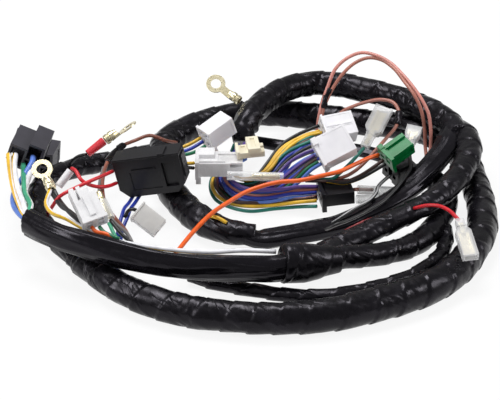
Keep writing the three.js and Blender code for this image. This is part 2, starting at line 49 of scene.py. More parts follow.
aim_height = 0.025


def on_bench(point):
    return Vector(point) + coil_middle


view = bpy.data.cameras.new("view")
view.sensor_width = 36
view.lens = view_focal
view.clip_start = 0.01
camera = bpy.data.objects.new("view", view)
camera.location = on_bench((
    0,
    -view_distance * math.cos(view_elevation),
    aim_height + view_distance * math.sin(view_elevation),
))
camera.rotation_euler = (math.pi / 2 - view_elevation, 0, 0)
bpy.context.collection.objects.link(camera)
bpy.context.scene.camera = camera
bpy.context.scene.view_settings.view_transform = "Standard"


def node_tree(owner):
    """The empty node tree of a material or of the world"""
    owner.use_nodes = True
    owner.node_tree.nodes.clear()
    return owner.node_tree


def feed(tree, node, sockets):
    """Sets inputs of the node, each to a value or to the output that is linked to it"""
    for name, value in sockets.items():
        if isinstance(value, bpy.types.NodeSocket):
            tree.links.new(value, node.inputs[name])
        else:
            node.inputs[name].default_value = value


def add_node(tree, kind, sockets=None, **settings):
    node = tree.nodes.new(kind)
    for name, value in settings.items():
        setattr(node, name, value)
    feed(tree, node, sockets or {})
    return node


def sum_node(tree, operation, *values):
    """One step of arithmetic, and its output"""
    return add_node(tree, "ShaderNodeMath", dict(enumerate(values)), operation=operation).outputs[0]


def seen_directly(tree):
    """1 for rays from the camera and for those that a surface mirrors or clear vinyl lets through"""
    path = add_node(tree, "ShaderNodeLightPath").outputs
    first = sum_node(tree, "MAXIMUM", path["Is Camera Ray"], path["Is Transmission Ray"])
    return sum_node(tree, "MAXIMUM", first, path["Is Glossy Ray"])


table_half = 4.0
table_white = (0.88, 0.88, 0.89, 1)
table_glow = 0.88
table_material = bpy.data.materials.new("white_table")
tree = node_tree(table_material)
lit = add_node(tree, "ShaderNodeBsdfDiffuse", {"Color": table_white})
glow = add_node(tree, "ShaderNodeEmission", {"Color": (1, 1, 1, 1)})
share = sum_node(tree, "MULTIPLY", seen_directly(tree), table_glow)
mix = add_node(tree, "ShaderNodeMixShader", {0: share, 1: lit.outputs[0], 2: glow.outputs[0]})
add_node(tree, "ShaderNodeOutputMaterial", {"Surface": mix.outputs[0]})

table_mesh = bpy.data.meshes.new("table")
table_corners = [(table_half * x, table_half * y, 0) for x, y in ((-1, -1), (1, -1), (1, 1), (-1, 1))]
table_mesh.from_pydata(table_corners, [], [(0, 1, 2, 3)])
table_mesh.materials.append(table_material)
table = bpy.data.objects.new("table", table_mesh)
bpy.context.collection.objects.link(table)

world = bpy.data.worlds.new("studio")
bpy.context.scene.world = world
tree = node_tree(world)
studio_light = 0.34
path = add_node(tree, "ShaderNodeLightPath")
level = add_node(tree, "ShaderNodeMapRange", {
    "Value": path.outputs["Is Camera Ray"], "To Min": studio_light, "To Max": 1.0,
})
studio = add_node(tree, "ShaderNodeBackground", {"Color": (1, 1, 1, 1), "Strength": level.outputs["Result"]})
add_node(tree, "ShaderNodeOutputWorld", {"Surface": studio.outputs[0]})


def soft_box(name, place, size, watts):
    lamp = bpy.data.lights.new(name, "AREA")
    lamp.shape = "RECTANGLE"
    lamp.size, lamp.size_y = size
    lamp.energy = watts
    holder = bpy.data.objects.new(name, lamp)
    holder.location = place
    holder.rotation_euler = (Vector(place) - Vector((0, 0, 0.02))).to_track_quat("Z", "Y").to_euler()
    bpy.context.collection.objects.link(holder)


soft_box("top_light", (-0.15, 0.30, 1.1), (0.62, 0.42), 9.8)
soft_box("left_light", (-1.0, -0.35, 0.8), (0.36, 0.5), 6.4)
soft_box("right_light", (1.0, -0.15, 0.6), (0.3, 0.5), 4.2)

# Main trunk
# A bundle of some thirty wires, wound with black PVC tape in overlapping turns. The turns climb over each
# other by half a width, and the tape gathers into small folds on the inside of every bend.
def smooth_route(points, spacing):
    """The points joined by one smooth curve, as evenly spaced points"""
    knots = [on_bench(point) for point in points]
    knots = [2 * knots[0] - knots[1]] + knots + [2 * knots[-1] - knots[-2]]
    dense = []
    fine = 24
    for before, start, end, after in zip(knots, knots[1:], knots[2:], knots[3:]):
        gap_before = math.sqrt((start - before).length)
        gap = math.sqrt((end - start).length)
        gap_after = math.sqrt((after - end).length)
        leave = (start - before) / gap_before - (end - before) / (gap_before + gap) + (end - start) / gap
        reach = (end - start) / gap - (after - start) / (gap + gap_after) + (after - end) / gap_after
        leave *= gap
        reach *= gap
        for i in range(fine):
            t = i / fine
            dense.append(
                start * (2 * t**3 - 3 * t**2 + 1) + leave * (t**3 - 2 * t**2 + t)
                + end * (3 * t**2 - 2 * t**3) + reach * (t**3 - t**2)
            )
    dense.append(knots[-2])
    travelled = [0.0]
    for a, b in zip(dense, dense[1:]):
        travelled.append(travelled[-1] + (b - a).length)
    count = max(3, round(travelled[-1] / spacing))
    even = []
    k = 0
    for i in range(count + 1):
        want = travelled[-1] * i / count
        while k < len(dense) - 2 and travelled[k + 1] < want:
            k += 1
        share = (want - travelled[k]) / max(travelled[k + 1] - travelled[k], 1e-9)
        even.append(dense[k].lerp(dense[k + 1], share))
    return even


def route_length(path):
    return sum((b - a).length for a, b in zip(path, path[1:]))


bend_span = 3
mouth_rim = 0.93
mouth_wall = 0.84


def tube_piece(name, path, radius_at, sides, material, mouth=0.0, flat=(1.0, 1.0), roll=0.0):
    """A tube along a path. radius_at(distance, turn, pinch) gives its radius, and pinch is above 0 inside a
    bend. With a mouth, its first end is open and hollow for that depth. flat is its width and height as
    shares of the radius, and roll turns its pattern round it."""
    spacing = route_length(path) / (len(path) - 1)
    verts = []
    rings = []
    side = Vector((1, 0, 0))
    for i, point in enumerate(path):
        ahead = path[min(i + 1, len(path) - 1)]
        behind = path[max(i - 1, 0)]
        along = (ahead - behind).normalized()
        level = along.cross(Vector((0, 0, 1)))
        if level.length > 0.25:
            side = level.normalized()
        else:
            side = (side - side.dot(along) * along).normalized()
        up = side.cross(along)
        near = path[max(i - bend_span, 0)]
        far = path[min(i + bend_span, len(path) - 1)]
        bend = (near + far - 2 * point) / (bend_span * bend_span * spacing * spacing)
        ring = []
        for j in range(sides):
            angle = 2 * math.pi * j / sides
            out = side * math.sin(angle) * flat[0] - up * math.cos(angle) * flat[1]
            reach = radius_at(i * spacing, j / sides, bend.dot(out))
            ring.append(len(verts))
            place = point + out * reach
            place.z = max(place.z, 0.0)
            verts.append(place)
        rings.append(ring)
    turns = [i * spacing for i in range(len(path))]
    if mouth:
        inner = []
        depth = min(len(path) - 1, max(2, round(mouth / spacing)))
        for i in [0] + list(range(depth + 1)):
            ring = []
            shrink = mouth_wall if inner else mouth_rim
            for k in rings[i]:
                ring.append(len(verts))
                verts.append(path[i] + (verts[k] - path[i]) * shrink)
            inner.append(ring)
        rings = inner[::-1] + rings
        turns = [i * spacing for i in range(depth, -1, -1)] + [0.0] + turns
    faces = []
    corners = []
    for a, b, s, t in zip(rings, rings[1:], turns, turns[1:]):
        for j in range(sides):
            k = (j + 1) % sides
            faces.append((a[j], b[j], b[k], a[k]))
            low, high = roll + j / sides, roll + (j + 1) / sides
            corners += [(s, low), (t, low), (t, high), (s, high)]
    for ring, s in ((rings[0], turns[0]), (rings[-1][::-1], turns[-1])):
        faces.append(tuple(ring))
        corners += [(s, j / sides) for j in range(sides)]
    mesh = bpy.data.meshes.new(name)
    mesh.from_pydata(verts, [], faces)
    wrap = mesh.uv_layers.new(name="wrap")
    wrap.data.foreach_set("uv", [value for corner in corners for value in corner])
    mesh.materials.append(material)
    mesh.shade_smooth()
    piece = bpy.data.objects.new(name, mesh)
    bpy.context.collection.objects.link(piece)
    return piece


def new_group(name, inputs, outputs):
    """An effect for several materials: a shader node group with named inputs and outputs"""
    group = bpy.data.node_groups.new(name, "ShaderNodeTree")
    for label, kind, value in inputs:
        socket = group.interface.new_socket(label, in_out="INPUT", socket_type=kind)
        socket.default_value = value
    for label, kind in outputs:
        group.interface.new_socket(label, in_out="OUTPUT", socket_type=kind)
    return group, add_node(group, "NodeGroupInput"), add_node(group, "NodeGroupOutput")


number, colour = "NodeSocketFloat", "NodeSocketColor"
# A film's colour, roughness and bump. Its darker colour is painted shade, laid along the fold lines.
crinkle, given, result = new_group(
    "crinkled_film",
    [("Along", number, 250), ("Around", number, 2.2), ("Crease_Shade", colour, (0.01, 0.01, 0.01, 1)),
     ("Film_Colour", colour, (0.03, 0.03, 0.03, 1)), ("Smooth", number, 0.25), ("Dull", number, 0.5)],
    [("Colour", colour), ("Roughness", number), ("Height", number)],
)
split = add_node(crinkle, "ShaderNodeSeparateXYZ", {
    0: add_node(crinkle, "ShaderNodeUVMap", uv_map="wrap").outputs["UV"],
}).outputs
along = sum_node(crinkle, "MULTIPLY", split["X"], given.outputs["Along"])
around = sum_node(crinkle, "MULTIPLY", split["Y"], given.outputs["Around"])
fold_slant = 1.6
slanted = sum_node(crinkle, "MULTIPLY_ADD", split["Y"], fold_slant, along)
place = add_node(crinkle, "ShaderNodeCombineXYZ", {"X": slanted, "Y": around})
folds = add_node(crinkle, "ShaderNodeTexNoise", {
    "Vector": place.outputs[0], "Scale": 1.0, "Detail": 2, "Distortion": 0.9,
})
fine_place = add_node(crinkle, "ShaderNodeTexCoord")
fine = add_node(crinkle, "ShaderNodeTexNoise", {
    "Vector": fine_place.outputs["Object"], "Scale": 320, "Detail": 3,
}).outputs["Fac"]
ridge = sum_node(crinkle, "ABSOLUTE", sum_node(crinkle, "SUBTRACT", folds.outputs["Fac"], 0.5))
crease = add_node(
    crinkle, "ShaderNodeMapRange", {"Value": ridge, "From Max": 0.2}, interpolation_type="SMOOTHSTEP",
).outputs["Result"]
# Painted shade: the colour is darker along the fold lines, where the bump has its valleys; elsewhere it is
# the film's own near-black.
shaded_creases = add_node(
    crinkle, "ShaderNodeMix", {"Factor": crease, "A": given.outputs["Crease_Shade"], "B": given.outputs["Film_Colour"]},
    data_type="RGBA",
)
gloss = add_node(crinkle, "ShaderNodeMapRange", {
    "Value": fine, "From Min": 0.35, "From Max": 0.65,
    "To Min": given.outputs["Smooth"], "To Max": given.outputs["Dull"],
})
grain_share = 0.12
feed(crinkle, result, {
    "Colour": shaded_creases.outputs["Result"], "Roughness": gloss.outputs["Result"],
    "Height": sum_node(crinkle, "MULTIPLY_ADD", fine, grain_share, crease),
})


def finished(name, effect, looks, strength, depth, skin):
    """A material whose colour, roughness and bump come from the effect with these looks. strength and depth
    are the bump's, and skin is what the shader is given besides."""
    material = bpy.data.materials.new(name)
    tree = node_tree(material)
    finish = add_node(tree, "ShaderNodeGroup", looks, node_tree=effect).outputs
    bump = add_node(tree, "ShaderNodeBump", {
        "Strength": strength, "Distance": depth, "Height": finish["Height"],
    })
    shader = add_node(tree, "ShaderNodeBsdfPrincipled", {
        "Base Color": finish["Colour"], "Roughness": finish["Roughness"], "Normal": bump.outputs["Normal"],
        **skin,
    })
    add_node(tree, "ShaderNodeOutputMaterial", {"Surface": shader.outputs[0]})
    return material


def film_material(name, along, around, crease_shade, film_colour, smooth, dull, depth):
    """A soft PVC film over a bundle: near black, with folds that run round it or along it. Its colour is
    painted darker along the fold lines, as painted shade in the creases.
    """
    looks = {
        "Along": along, "Around": around, "Crease_Shade": (*crease_shade, 1), "Film_Colour": (*film_colour, 1),
        "Smooth": smooth, "Dull": dull,
    }
    sheen = {"Specular IOR Level": 0.24, "Specular Tint": (0.93, 0.88, 1.0, 1)}
    return finished(name, crinkle, looks, 0.8, depth, sheen)


# The darker colour is painted shade along the tape's creases; the other is the tape's own near-black.
black_tape = film_material(
    "black_tape", along=58, around=2.2, crease_shade=(0.002, 0.0018, 0.0026), film_colour=(0.006, 0.0054, 0.0074),
    smooth=0.21, dull=0.37, depth=0.0005,
)


def narrowed(distance, length, start, end, ease):
    """The share of its width that a bundle has this far along, as it narrows towards its ends"""
    taper = min(1.0, start + (1 - start) * distance / ease[0])
    return min(taper, end + (1 - end) * (length - distance) / ease[1])


tape_turn = 0.0155
tape_lift = 0.0006
wander_length = 0.05
tape_wander = 0.6
lump_length = 0.03
lump_share = 0.075
slack_length = 0.028
slack_gather = 0.07
fold_length = 0.0085
fold_lean = 2.8
fold_sharpness = 2.6
bend_gather = 0.55


def taped(radius, length, start=0.85, end=0.85, ease=(0.012, 0.012), seed=0.0, swell=None, loose=1.0):
    """The radius of a taped bundle: the climbing turns of tape, the wires' lumps, and folds where it bends.
    swell is the place, half width and share of a thicker stretch, and loose scales the folds."""
    def radius_at(distance, turn, pinch):
        angle = 2 * math.pi * turn
        around = Vector((math.cos(angle), math.sin(angle), 0))
        wander = noise.noise(Vector((distance / wander_length, 9 + seed, 3)))
        climb = distance / tape_turn - turn + tape_wander * wander
        phase = climb - math.floor(climb)
        lump = noise.noise(Vector((distance / lump_length + seed, 0, seed)) + 0.9 * around)
        slack = max(0.0, noise.noise(Vector((distance / slack_length, seed, 7))) + 0.1)
        fold = noise.noise(Vector((distance / fold_length + fold_lean * turn, 5 + seed, 0)) + 0.6 * around)
        fold = 1 - fold_sharpness * abs(fold)
        gather = max(0.0, pinch * radius) * bend_gather + slack_gather * slack
        size = radius * (1 + lump_share * lump + loose * gather * fold) + tape_lift * (phase - 0.6)
        if swell:
            place, reach, share = swell
            size *= 1 + share * math.exp(-((distance - place) / reach) ** 2)
        return size * narrowed(distance, length, start, end, ease)
    return radius_at


sag_length = 0.04
sag_share = 0.09
crease_length = 0.055
crease_level = 0.2
buckle_length = 0.009
buckle_lean = 1.2
buckle_gather = 0.7


def slack_film(radius, length, start, end, ease, seed=0.0, fold=0.1):
    """The radius of a soft sleeve: it sags between its wires and creases along its length"""
    def radius_at(distance, turn, pinch):
        angle = 2 * math.pi * turn
        around = Vector((math.cos(angle), math.sin(angle), 0))
        sag = noise.noise(Vector((distance / sag_length + seed, 0, seed)) + 0.9 * around)
        crease = abs(noise.noise(Vector((distance / crease_length, seed, 2)) + 1.7 * around))
        buckle_place = Vector((distance / buckle_length + buckle_lean * turn, seed, 4))
        buckle = noise.noise(buckle_place + 0.5 * around)
        gather = buckle_gather * max(0.0, pinch * radius)
        size = radius * (1 + sag_share * sag + fold * (crease - crease_level) + gather * buckle)
        return size * narrowed(distance, length, start, end, ease)
    return radius_at


tape_step = 0.0009
tape_sides = 44


def lay_strand(name, points, radius, material=black_tape, start=0.85, end=0.85,
               sides=tape_sides, mouth=0.0, flat=(1.0, 1.0), ease=(0.012, 0.012),
               slot="tape", swell=None, loose=1.0, out_of=(), into=()):
    """One taped strand of the harness on its route, in place of its solid. out_of and into are points inside
    the strands that it leaves and joins, so that no gap shows between their tapes."""
    path = smooth_route([*out_of, *points, *into], tape_step)
    length = route_length(path)
    seed = sum(map(ord, name)) % 37
    if slot == "tape":
        shape = taped(radius, length, start, end, ease, seed, swell, loose)
    else:
        shape = slack_film(radius, length, start, end, ease, seed, loose)
    piece = tube_piece(name, path, shape, sides, material, mouth, flat)
    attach(piece, "root")
    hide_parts(name.replace("_cover", ""))


lay_strand("main_trunk_cover", [
    (0.003, -0.009, 0.0082), (-0.007, -0.008, 0.0082), (-0.017, -0.003, 0.0082), (-0.03, 0.01, 0.0082),
    (-0.041, 0.029, 0.0082), (-0.049, 0.052, 0.0082), (-0.053, 0.077, 0.0082), (-0.051, 0.098, 0.0082),
    (-0.04, 0.114, 0.0082), (-0.024, 0.127, 0.0082), (-0.006, 0.135, 0.0082), (0.012, 0.138, 0.0082),
    (0.034, 0.134, 0.0082), (0.056, 0.128, 0.0082), (0.08, 0.123, 0.0082), (0.099, 0.116, 0.009),
    (0.116, 0.101, 0.0094), (0.126, 0.079, 0.009), (0.13, 0.052, 0.0082), (0.131, 0.023, 0.0082),
    (0.129, -0.001, 0.0082), (0.123, -0.021, 0.0082), (0.115, -0.037, 0.0082), (0.106, -0.05, 0.0082),
    (0.094, -0.062, 0.0082), (0.08, -0.071, 0.0082), (0.067, -0.078, 0.0082), (0.046, -0.087, 0.0082),
    (0.025, -0.091, 0.0082), (0.008, -0.092, 0.0082), (-0.01, -0.09, 0.0082), (-0.026, -0.087, 0.0082),
    (-0.041, -0.081, 0.0082), (-0.057, -0.072, 0.0082), (-0.071, -0.06, 0.0082), (-0.082, -0.048, 0.0082),
    (-0.091, -0.037, 0.0082),
], 0.0082, start=0.68, ease=(0.032, 0.03), swell=(0.52, 0.06, 0.12))

# Top trunk
# The same taped bundle arches over the back of the coil. The centre wires leave its front end, and at the
# right it parts into two thinner strands.
lay_strand("top_trunk_cover", [
    (-0.004, 0.085, 0.016), (-0.004, 0.091, 0.022), (0.001, 0.102, 0.026), (0.011, 0.118, 0.028),
    (0.023, 0.132, 0.028), (0.039, 0.141, 0.027), (0.054, 0.14, 0.027), (0.069, 0.133, 0.027),
    (0.084, 0.125, 0.027), (0.098, 0.116, 0.0262), (0.11, 0.104, 0.0258), (0.118, 0.092, 0.0253),
    (0.122, 0.081, 0.0251), (0.1232, 0.077, 0.025),
], 0.0076, start=0.86)

# Left strand and thin tails
# Thinner taped branches: one goes on round the left side, one runs along the floor in front, and a short
# tail carries the pink and brown wires.
lay_strand("left_strand_cover", [
    (-0.0915, -0.0363, 0.0084), (-0.098, -0.028, 0.0087), (-0.105, -0.018, 0.0093), (-0.112, -0.006, 0.01),
    (-0.118, 0.01, 0.0108), (-0.121, 0.026, 0.0124), (-0.119, 0.04, 0.013), (-0.114, 0.052, 0.0112),
    (-0.105, 0.064, 0.009), (-0.094, 0.073, 0.0075), (-0.08, 0.08, 0.0058), (-0.068, 0.086, 0.0058),
], 0.0058, sides=32, out_of=[(-0.0855, -0.0435, 0.0083)], into=[
    (-0.0605, 0.0885, 0.0064), (-0.0525, 0.0893, 0.0075),
])
lay_strand("low_strand_cover", [
    (0.1082, -0.008, 0.0038), (0.1045, -0.021, 0.0038), (0.094, -0.0365, 0.0038), (0.08, -0.0485, 0.0038),
    (0.063, -0.057, 0.0038), (0.042, -0.0635, 0.0038), (0.021, -0.0635, 0.0038), (0.0, -0.058, 0.0038),
    (-0.0185, -0.0515, 0.0038), (-0.032, -0.0445, 0.0038),
], 0.0038, sides=24, flat=(1.1, 0.95), out_of=[(0.1095, 0.004, 0.005)])
lay_strand("tail_strand_cover", [
    (0.082, 0.1123, 0.0148), (0.089, 0.1065, 0.0175), (0.096, 0.1, 0.019), (0.103, 0.092, 0.0185),
    (0.1072, 0.08, 0.017),
], 0.0032, sides=20)

# Flat sleeves
# Soft black PVC tube slipped over a few wires. It is glossy and creased along its length, and the front
# one ends open at the left, where the relay wires go in.
# The darker colour is painted shade along the sleeve's creases; the other is the sleeve's own near-black.
black_sleeve = film_material(
    "black_sleeve", along=9, around=1.6, crease_shade=(0.0042, 0.0038, 0.0052), film_colour=(0.007, 0.0063, 0.0086),
    smooth=0.17, dull=0.28, depth=0.0006,
)
lay_strand(
    "inner_strand_cover", [
        (0.1164, 0.0734, 0.0242), (0.113, 0.065, 0.0215), (0.108, 0.057, 0.019), (0.1, 0.046, 0.0158),
        (0.09, 0.035, 0.012), (0.077, 0.024, 0.009), (0.063, 0.015, 0.0065), (0.051, 0.007, 0.0053),
        (0.036, 0.0, 0.0053), (0.02, -0.0054, 0.0053), (0.0058, -0.009, 0.0053),
    ], 0.0053, black_sleeve, sides=36, flat=(1.3, 0.95),
    slot="pvc_sleeve", loose=0.3, out_of=[(0.119, 0.083, 0.025)], into=[(-0.003, -0.0092, 0.0075)],
)
lay_strand(
    "middle_strand_cover", [
        (0.1272, 0.075, 0.025), (0.127, 0.056, 0.0245), (0.121, 0.038, 0.023), (0.112, 0.022, 0.021),
        (0.1, 0.01, 0.018), (0.086, 0.001, 0.015), (0.069, -0.009, 0.012), (0.056, -0.017, 0.01),
        (0.049, -0.022, 0.0095),
    ], 0.0056, sides=40, flat=(1.3, 1.0), loose=0.7, out_of=[(0.1235, 0.086, 0.0252)],
    into=[(0.0415, -0.031, 0.0108), (0.0355, -0.0395, 0.0125), (0.0305, -0.0455, 0.0145)],
)
lay_strand(
    "front_sleeve_cover", [
        (-0.119, -0.025, 0.026), (-0.109, -0.034, 0.026), (-0.1, -0.041, 0.026), (-0.089, -0.047, 0.026),
        (-0.076, -0.052, 0.025), (-0.06, -0.058, 0.024), (-0.044, -0.062, 0.0225), (-0.026, -0.062, 0.0205),
        (-0.005, -0.059, 0.018), (0.0156, -0.0559, 0.0164),
    ], 0.0065, black_sleeve, start=1.0, end=1.0, sides=40, mouth=0.014, flat=(0.85, 1.13),
    slot="pvc_sleeve", loose=0.35, into=[(0.0225, -0.0525, 0.0163)],
)
lay_strand("back_sleeve_cover", [
    (0.093, 0.075, 0.0039), (0.085, 0.084, 0.0039), (0.075, 0.092, 0.0039), (0.061, 0.098, 0.0039),
    (0.036, 0.099, 0.0039), (0.018, 0.103, 0.0039), (0.002, 0.109, 0.0039),
], 0.0039, black_sleeve, sides=24, flat=(1.15, 0.85), slot="pvc_sleeve", loose=0.25)

# Front strand and cuff
# The front strand leaves a wide cuff of tape at the middle of the coil's front and bends back to the right.
# The cuff is wound over the sleeve's end, and each turn of tape leaves an edge.
lay_strand("front_strand_cover", [
    (0.053, -0.038, 0.012), (0.062, -0.034, 0.01), (0.073, -0.028, 0.008), (0.086, -0.02, 0.0066),
    (0.098, -0.007, 0.0063), (0.106, 0.009, 0.0063), (0.112, 0.026, 0.0063), (0.112, 0.043, 0.0063),
    (0.107, 0.057, 0.0063), (0.1, 0.068, 0.0063),
], 0.0063, start=1.0, sides=36, loose=1.8, out_of=[(0.0435, -0.0432, 0.0138)])
lay_strand("tape_cuff_cover", [
    (0.017, -0.054, 0.0175), (0.031, -0.0495, 0.0155), (0.047, -0.043, 0.013),
], 0.01, start=0.93, end=0.66, ease=(0.002, 0.02), sides=48, flat=(0.95, 1.1), loose=0.5)

# Wires
# Single copper wires of about two millimetres over their PVC insulation. Each circuit has its own colour,
# and many carry a thin tracer stripe of a second colour along one side.
thin_wire = 0.00105
thick_wire = 0.00125
power_wire = 0.00155
wire_step = 0.0016
wire_sides = 14
tints = {
    "white": (0.80, 0.80, 0.84), "silver": (0.42, 0.42, 0.43),
    "grey": (0.20, 0.19, 0.19), "black": (0.006, 0.006, 0.0075), "yellow": (0.78, 0.47, 0.03),
    "orange": (0.86, 0.125, 0.014), "red": (0.60, 0.012, 0.022), "dark_red": (0.22, 0.008, 0.012),
    "pink": (0.60, 0.24, 0.20), "pale_brown": (0.40, 0.15, 0.11), "brown": (0.26, 0.085, 0.055),
    "dark_brown": (0.05, 0.022, 0.018), "purple": (0.11, 0.06, 0.28), "blue": (0.022, 0.045, 0.38),
    "light_blue": (0.10, 0.20, 0.60), "teal": (0.008, 0.17, 0.13), "green": (0.008, 0.16, 0.07),
    "light_green": (0.05, 0.36, 0.20),
}

insulation_grain, given, result = new_group(
    "insulation_grain",
    [("Main", colour, (0.5, 0.5, 0.5, 1)), ("Tracer", colour, (0.5, 0.5, 0.5, 1)), ("Width", number, 0.2)],
    [("Colour", colour), ("Roughness", number), ("Height", number)],
)
split = add_node(insulation_grain, "ShaderNodeSeparateXYZ", {
    0: add_node(insulation_grain, "ShaderNodeUVMap", uv_map="wrap").outputs["UV"],
}).outputs
stripe_twist = 3.0
turn = sum_node(
    insulation_grain, "FRACT",
    sum_node(insulation_grain, "MULTIPLY_ADD", split["X"], stripe_twist, split["Y"]),
)
striped = sum_node(insulation_grain, "LESS_THAN", turn, given.outputs["Width"])
soil_place = add_node(insulation_grain, "ShaderNodeTexCoord")
soil = add_node(insulation_grain, "ShaderNodeTexNoise", {
    "Vector": soil_place.outputs["Object"], "Scale": 160, "Detail": 2,
}).outputs["Fac"]
shade = add_node(insulation_grain, "ShaderNodeMapRange", {
    "Value": soil, "From Min": 0.3, "From Max": 0.7, "To Min": 0.82, "To Max": 1.08,
})
gloss = add_node(insulation_grain, "ShaderNodeMapRange", {"Value": soil, "To Min": 0.24, "To Max": 0.46})
pick = add_node(
    insulation_grain, "ShaderNodeMix",
    {"Factor": striped, "A": given.outputs["Main"], "B": given.outputs["Tracer"]}, data_type="RGBA",
)
tone = add_node(
    insulation_grain, "ShaderNodeVectorMath", {0: pick.outputs["Result"], "Scale": shade.outputs["Result"]},
    operation="SCALE",
)
feed(insulation_grain, result, {
    "Colour": tone.outputs["Vector"], "Roughness": gloss.outputs["Result"], "Height": soil,
})
tracer_width = 0.15
wide_tracer_width = 0.3


def insulation(main, tracer=None):
    name = "insulation_" + main + ("_" + tracer if tracer else "")
    if name in bpy.data.materials:
        return bpy.data.materials[name]
    width = 0.0
    if tracer:
        width = wide_tracer_width if tracer == "yellow" else tracer_width
    looks = {"Main": (*tints[main], 1), "Tracer": (*tints[tracer or main], 1), "Width": width}
    return finished(name, insulation_grain, looks, 0.25, 0.0002, {"Specular IOR Level": 0.5})


def lay_wire(name, points, main, tracer=None, node=None, radius=thin_wire, roll=0.0, into=(),
             onward=None):
    """One insulated wire on its route. into are points inside the bundle that it goes on in, and onward is
    how much further it runs into a sleeve."""
    if onward:
        into = [Vector(points[-1]) + Vector(onward)]
    path = smooth_route([*points, *into], wire_step)

    def round_wire(distance, turn, pinch):
        return radius

    piece = tube_piece(name, path, round_wire, wire_sides, insulation(main, tracer), roll=roll)
    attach(piece, "root")
    if node:
        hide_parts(node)


roll_step = 0.13


def lay_wires(node, wires, radius=thin_wire, roll=0.0, into=(), onward=None):
    """The wires of one connector or terminal, which share one solid. Each is rolled a little further."""
    for i, (main, tracer, points) in enumerate(wires):
        name = f"{node}_{i + 1}"
        lay_wire(name, points, main, tracer, node, radius, roll + roll_step * i, into, onward)


lay_wires("wires_relay_socket", [
    ("white", "yellow", [
        (-0.138, 0.045, 0.029), (-0.136, 0.033, 0.027), (-0.132, 0.014, 0.026), (-0.127, -0.004, 0.026),
        (-0.121, -0.019, 0.026),
    ]),
    ("white", "yellow", [
        (-0.134, 0.045, 0.029), (-0.133, 0.031, 0.029), (-0.129, 0.01, 0.028), (-0.124, -0.007, 0.028),
        (-0.12, -0.019, 0.0275),
    ]),
    ("white", "yellow", [
        (-0.124, 0.0442, 0.024), (-0.125, 0.02, 0.025), (-0.126, 0.004, 0.025), (-0.123, -0.009, 0.025),
        (-0.1205, -0.019, 0.025),
    ]),
    ("light_blue", "blue", [
        (-0.124, 0.0442, 0.028), (-0.124, 0.039, 0.0275), (-0.128, 0.028, 0.024), (-0.131, 0.016, 0.023),
        (-0.131, 0.003, 0.023), (-0.128, -0.008, 0.0235), (-0.1215, -0.019, 0.024),
    ]),
    ("light_green", "white", [
        (-0.13, 0.045, 0.0225), (-0.127, 0.022, 0.0255), (-0.124, 0.004, 0.027), (-0.119, -0.012, 0.0285),
        (-0.1185, -0.019, 0.0285),
    ]),
], power_wire, roll=0.74, onward=(0.009, -0.0078, -0.0004))
lay_wires("wires_ring_left", [
    ("white", "yellow", [
        (-0.111, 0.011, 0.025), (-0.112, -0.002, 0.024), (-0.107, -0.016, 0.026), (-0.098, -0.028, 0.0295),
        (-0.088, -0.0365, 0.0285), (-0.076, -0.043, 0.0265), (-0.06, -0.0496, 0.0265),
        (-0.039, -0.0526, 0.025), (-0.021, -0.052, 0.0235), (-0.003, -0.048, 0.022), (0.0137, -0.046, 0.02),
    ]),
    ("black", None, [
        (-0.109, 0.011, 0.025), (-0.106, 0.005, 0.023), (-0.1, -0.01, 0.025), (-0.094, -0.024, 0.028),
        (-0.086, -0.034, 0.0275), (-0.075, -0.0415, 0.0255), (-0.06, -0.0482, 0.0255),
        (-0.039, -0.0512, 0.024), (-0.021, -0.0505, 0.0225), (-0.003, -0.047, 0.0215),
        (0.0137, -0.045, 0.0195),
    ]),
    ("black", None, [
        (-0.11, 0.01, 0.0235), (-0.104, -0.002, 0.0225), (-0.098, -0.014, 0.026), (-0.091, -0.027, 0.028),
        (-0.085, -0.034, 0.0265),
    ]),
], thick_wire, roll=0.74)
lay_wires("wires_clear_left", [
    ("orange", None, [
        (-0.0835, -0.0416, 0.0326), (-0.081, -0.044, 0.0312), (-0.076, -0.0454, 0.0308),
        (-0.0705, -0.0478, 0.0297),
    ]),
    ("green", None, [
        (-0.0795, -0.0413, 0.0326), (-0.077, -0.044, 0.031), (-0.073, -0.0466, 0.0304),
        (-0.0686, -0.0487, 0.0296),
    ]),
])
lay_wires("wires_bullet_left", [
    ("black", None, [
        (-0.0756, -0.0178, 0.0226), (-0.069, -0.028, 0.02), (-0.06, -0.04, 0.019), (-0.05, -0.051, 0.0195),
        (-0.0455, -0.054, 0.0205),
    ]),
    ("light_green", "white", [
        (-0.0764, -0.019, 0.0214), (-0.071, -0.031, 0.0185), (-0.061, -0.042, 0.018),
        (-0.051, -0.052, 0.0185), (-0.046, -0.0548, 0.0197),
    ]),
])
lay_wires("wire_ring_red", [("black", None, [
    (-0.1048, 0.0582, 0.0153), (-0.102, 0.058, 0.019), (-0.099, 0.056, 0.022), (-0.096, 0.0526, 0.0246),
    (-0.0945, 0.0511, 0.0256),
])])
lay_wires("wires_red", [
    ("red", None, [
        (-0.0998, 0.0228, 0.0323), (-0.0976, 0.0204, 0.0324), (-0.0935, 0.014, 0.0295),
        (-0.089, 0.014, 0.0265), (-0.0832, 0.0159, 0.0242), (-0.0786, 0.0216, 0.0219),
        (-0.0755, 0.027, 0.0205),
    ]),
    ("red", None, [
        (-0.1135, 0.0045, 0.012), (-0.11, 0.0035, 0.018), (-0.105, 0.004, 0.025), (-0.098, 0.0087, 0.027),
        (-0.09, 0.0138, 0.0286), (-0.083, 0.0204, 0.0286), (-0.0773, 0.0279, 0.0276),
    ]),
])
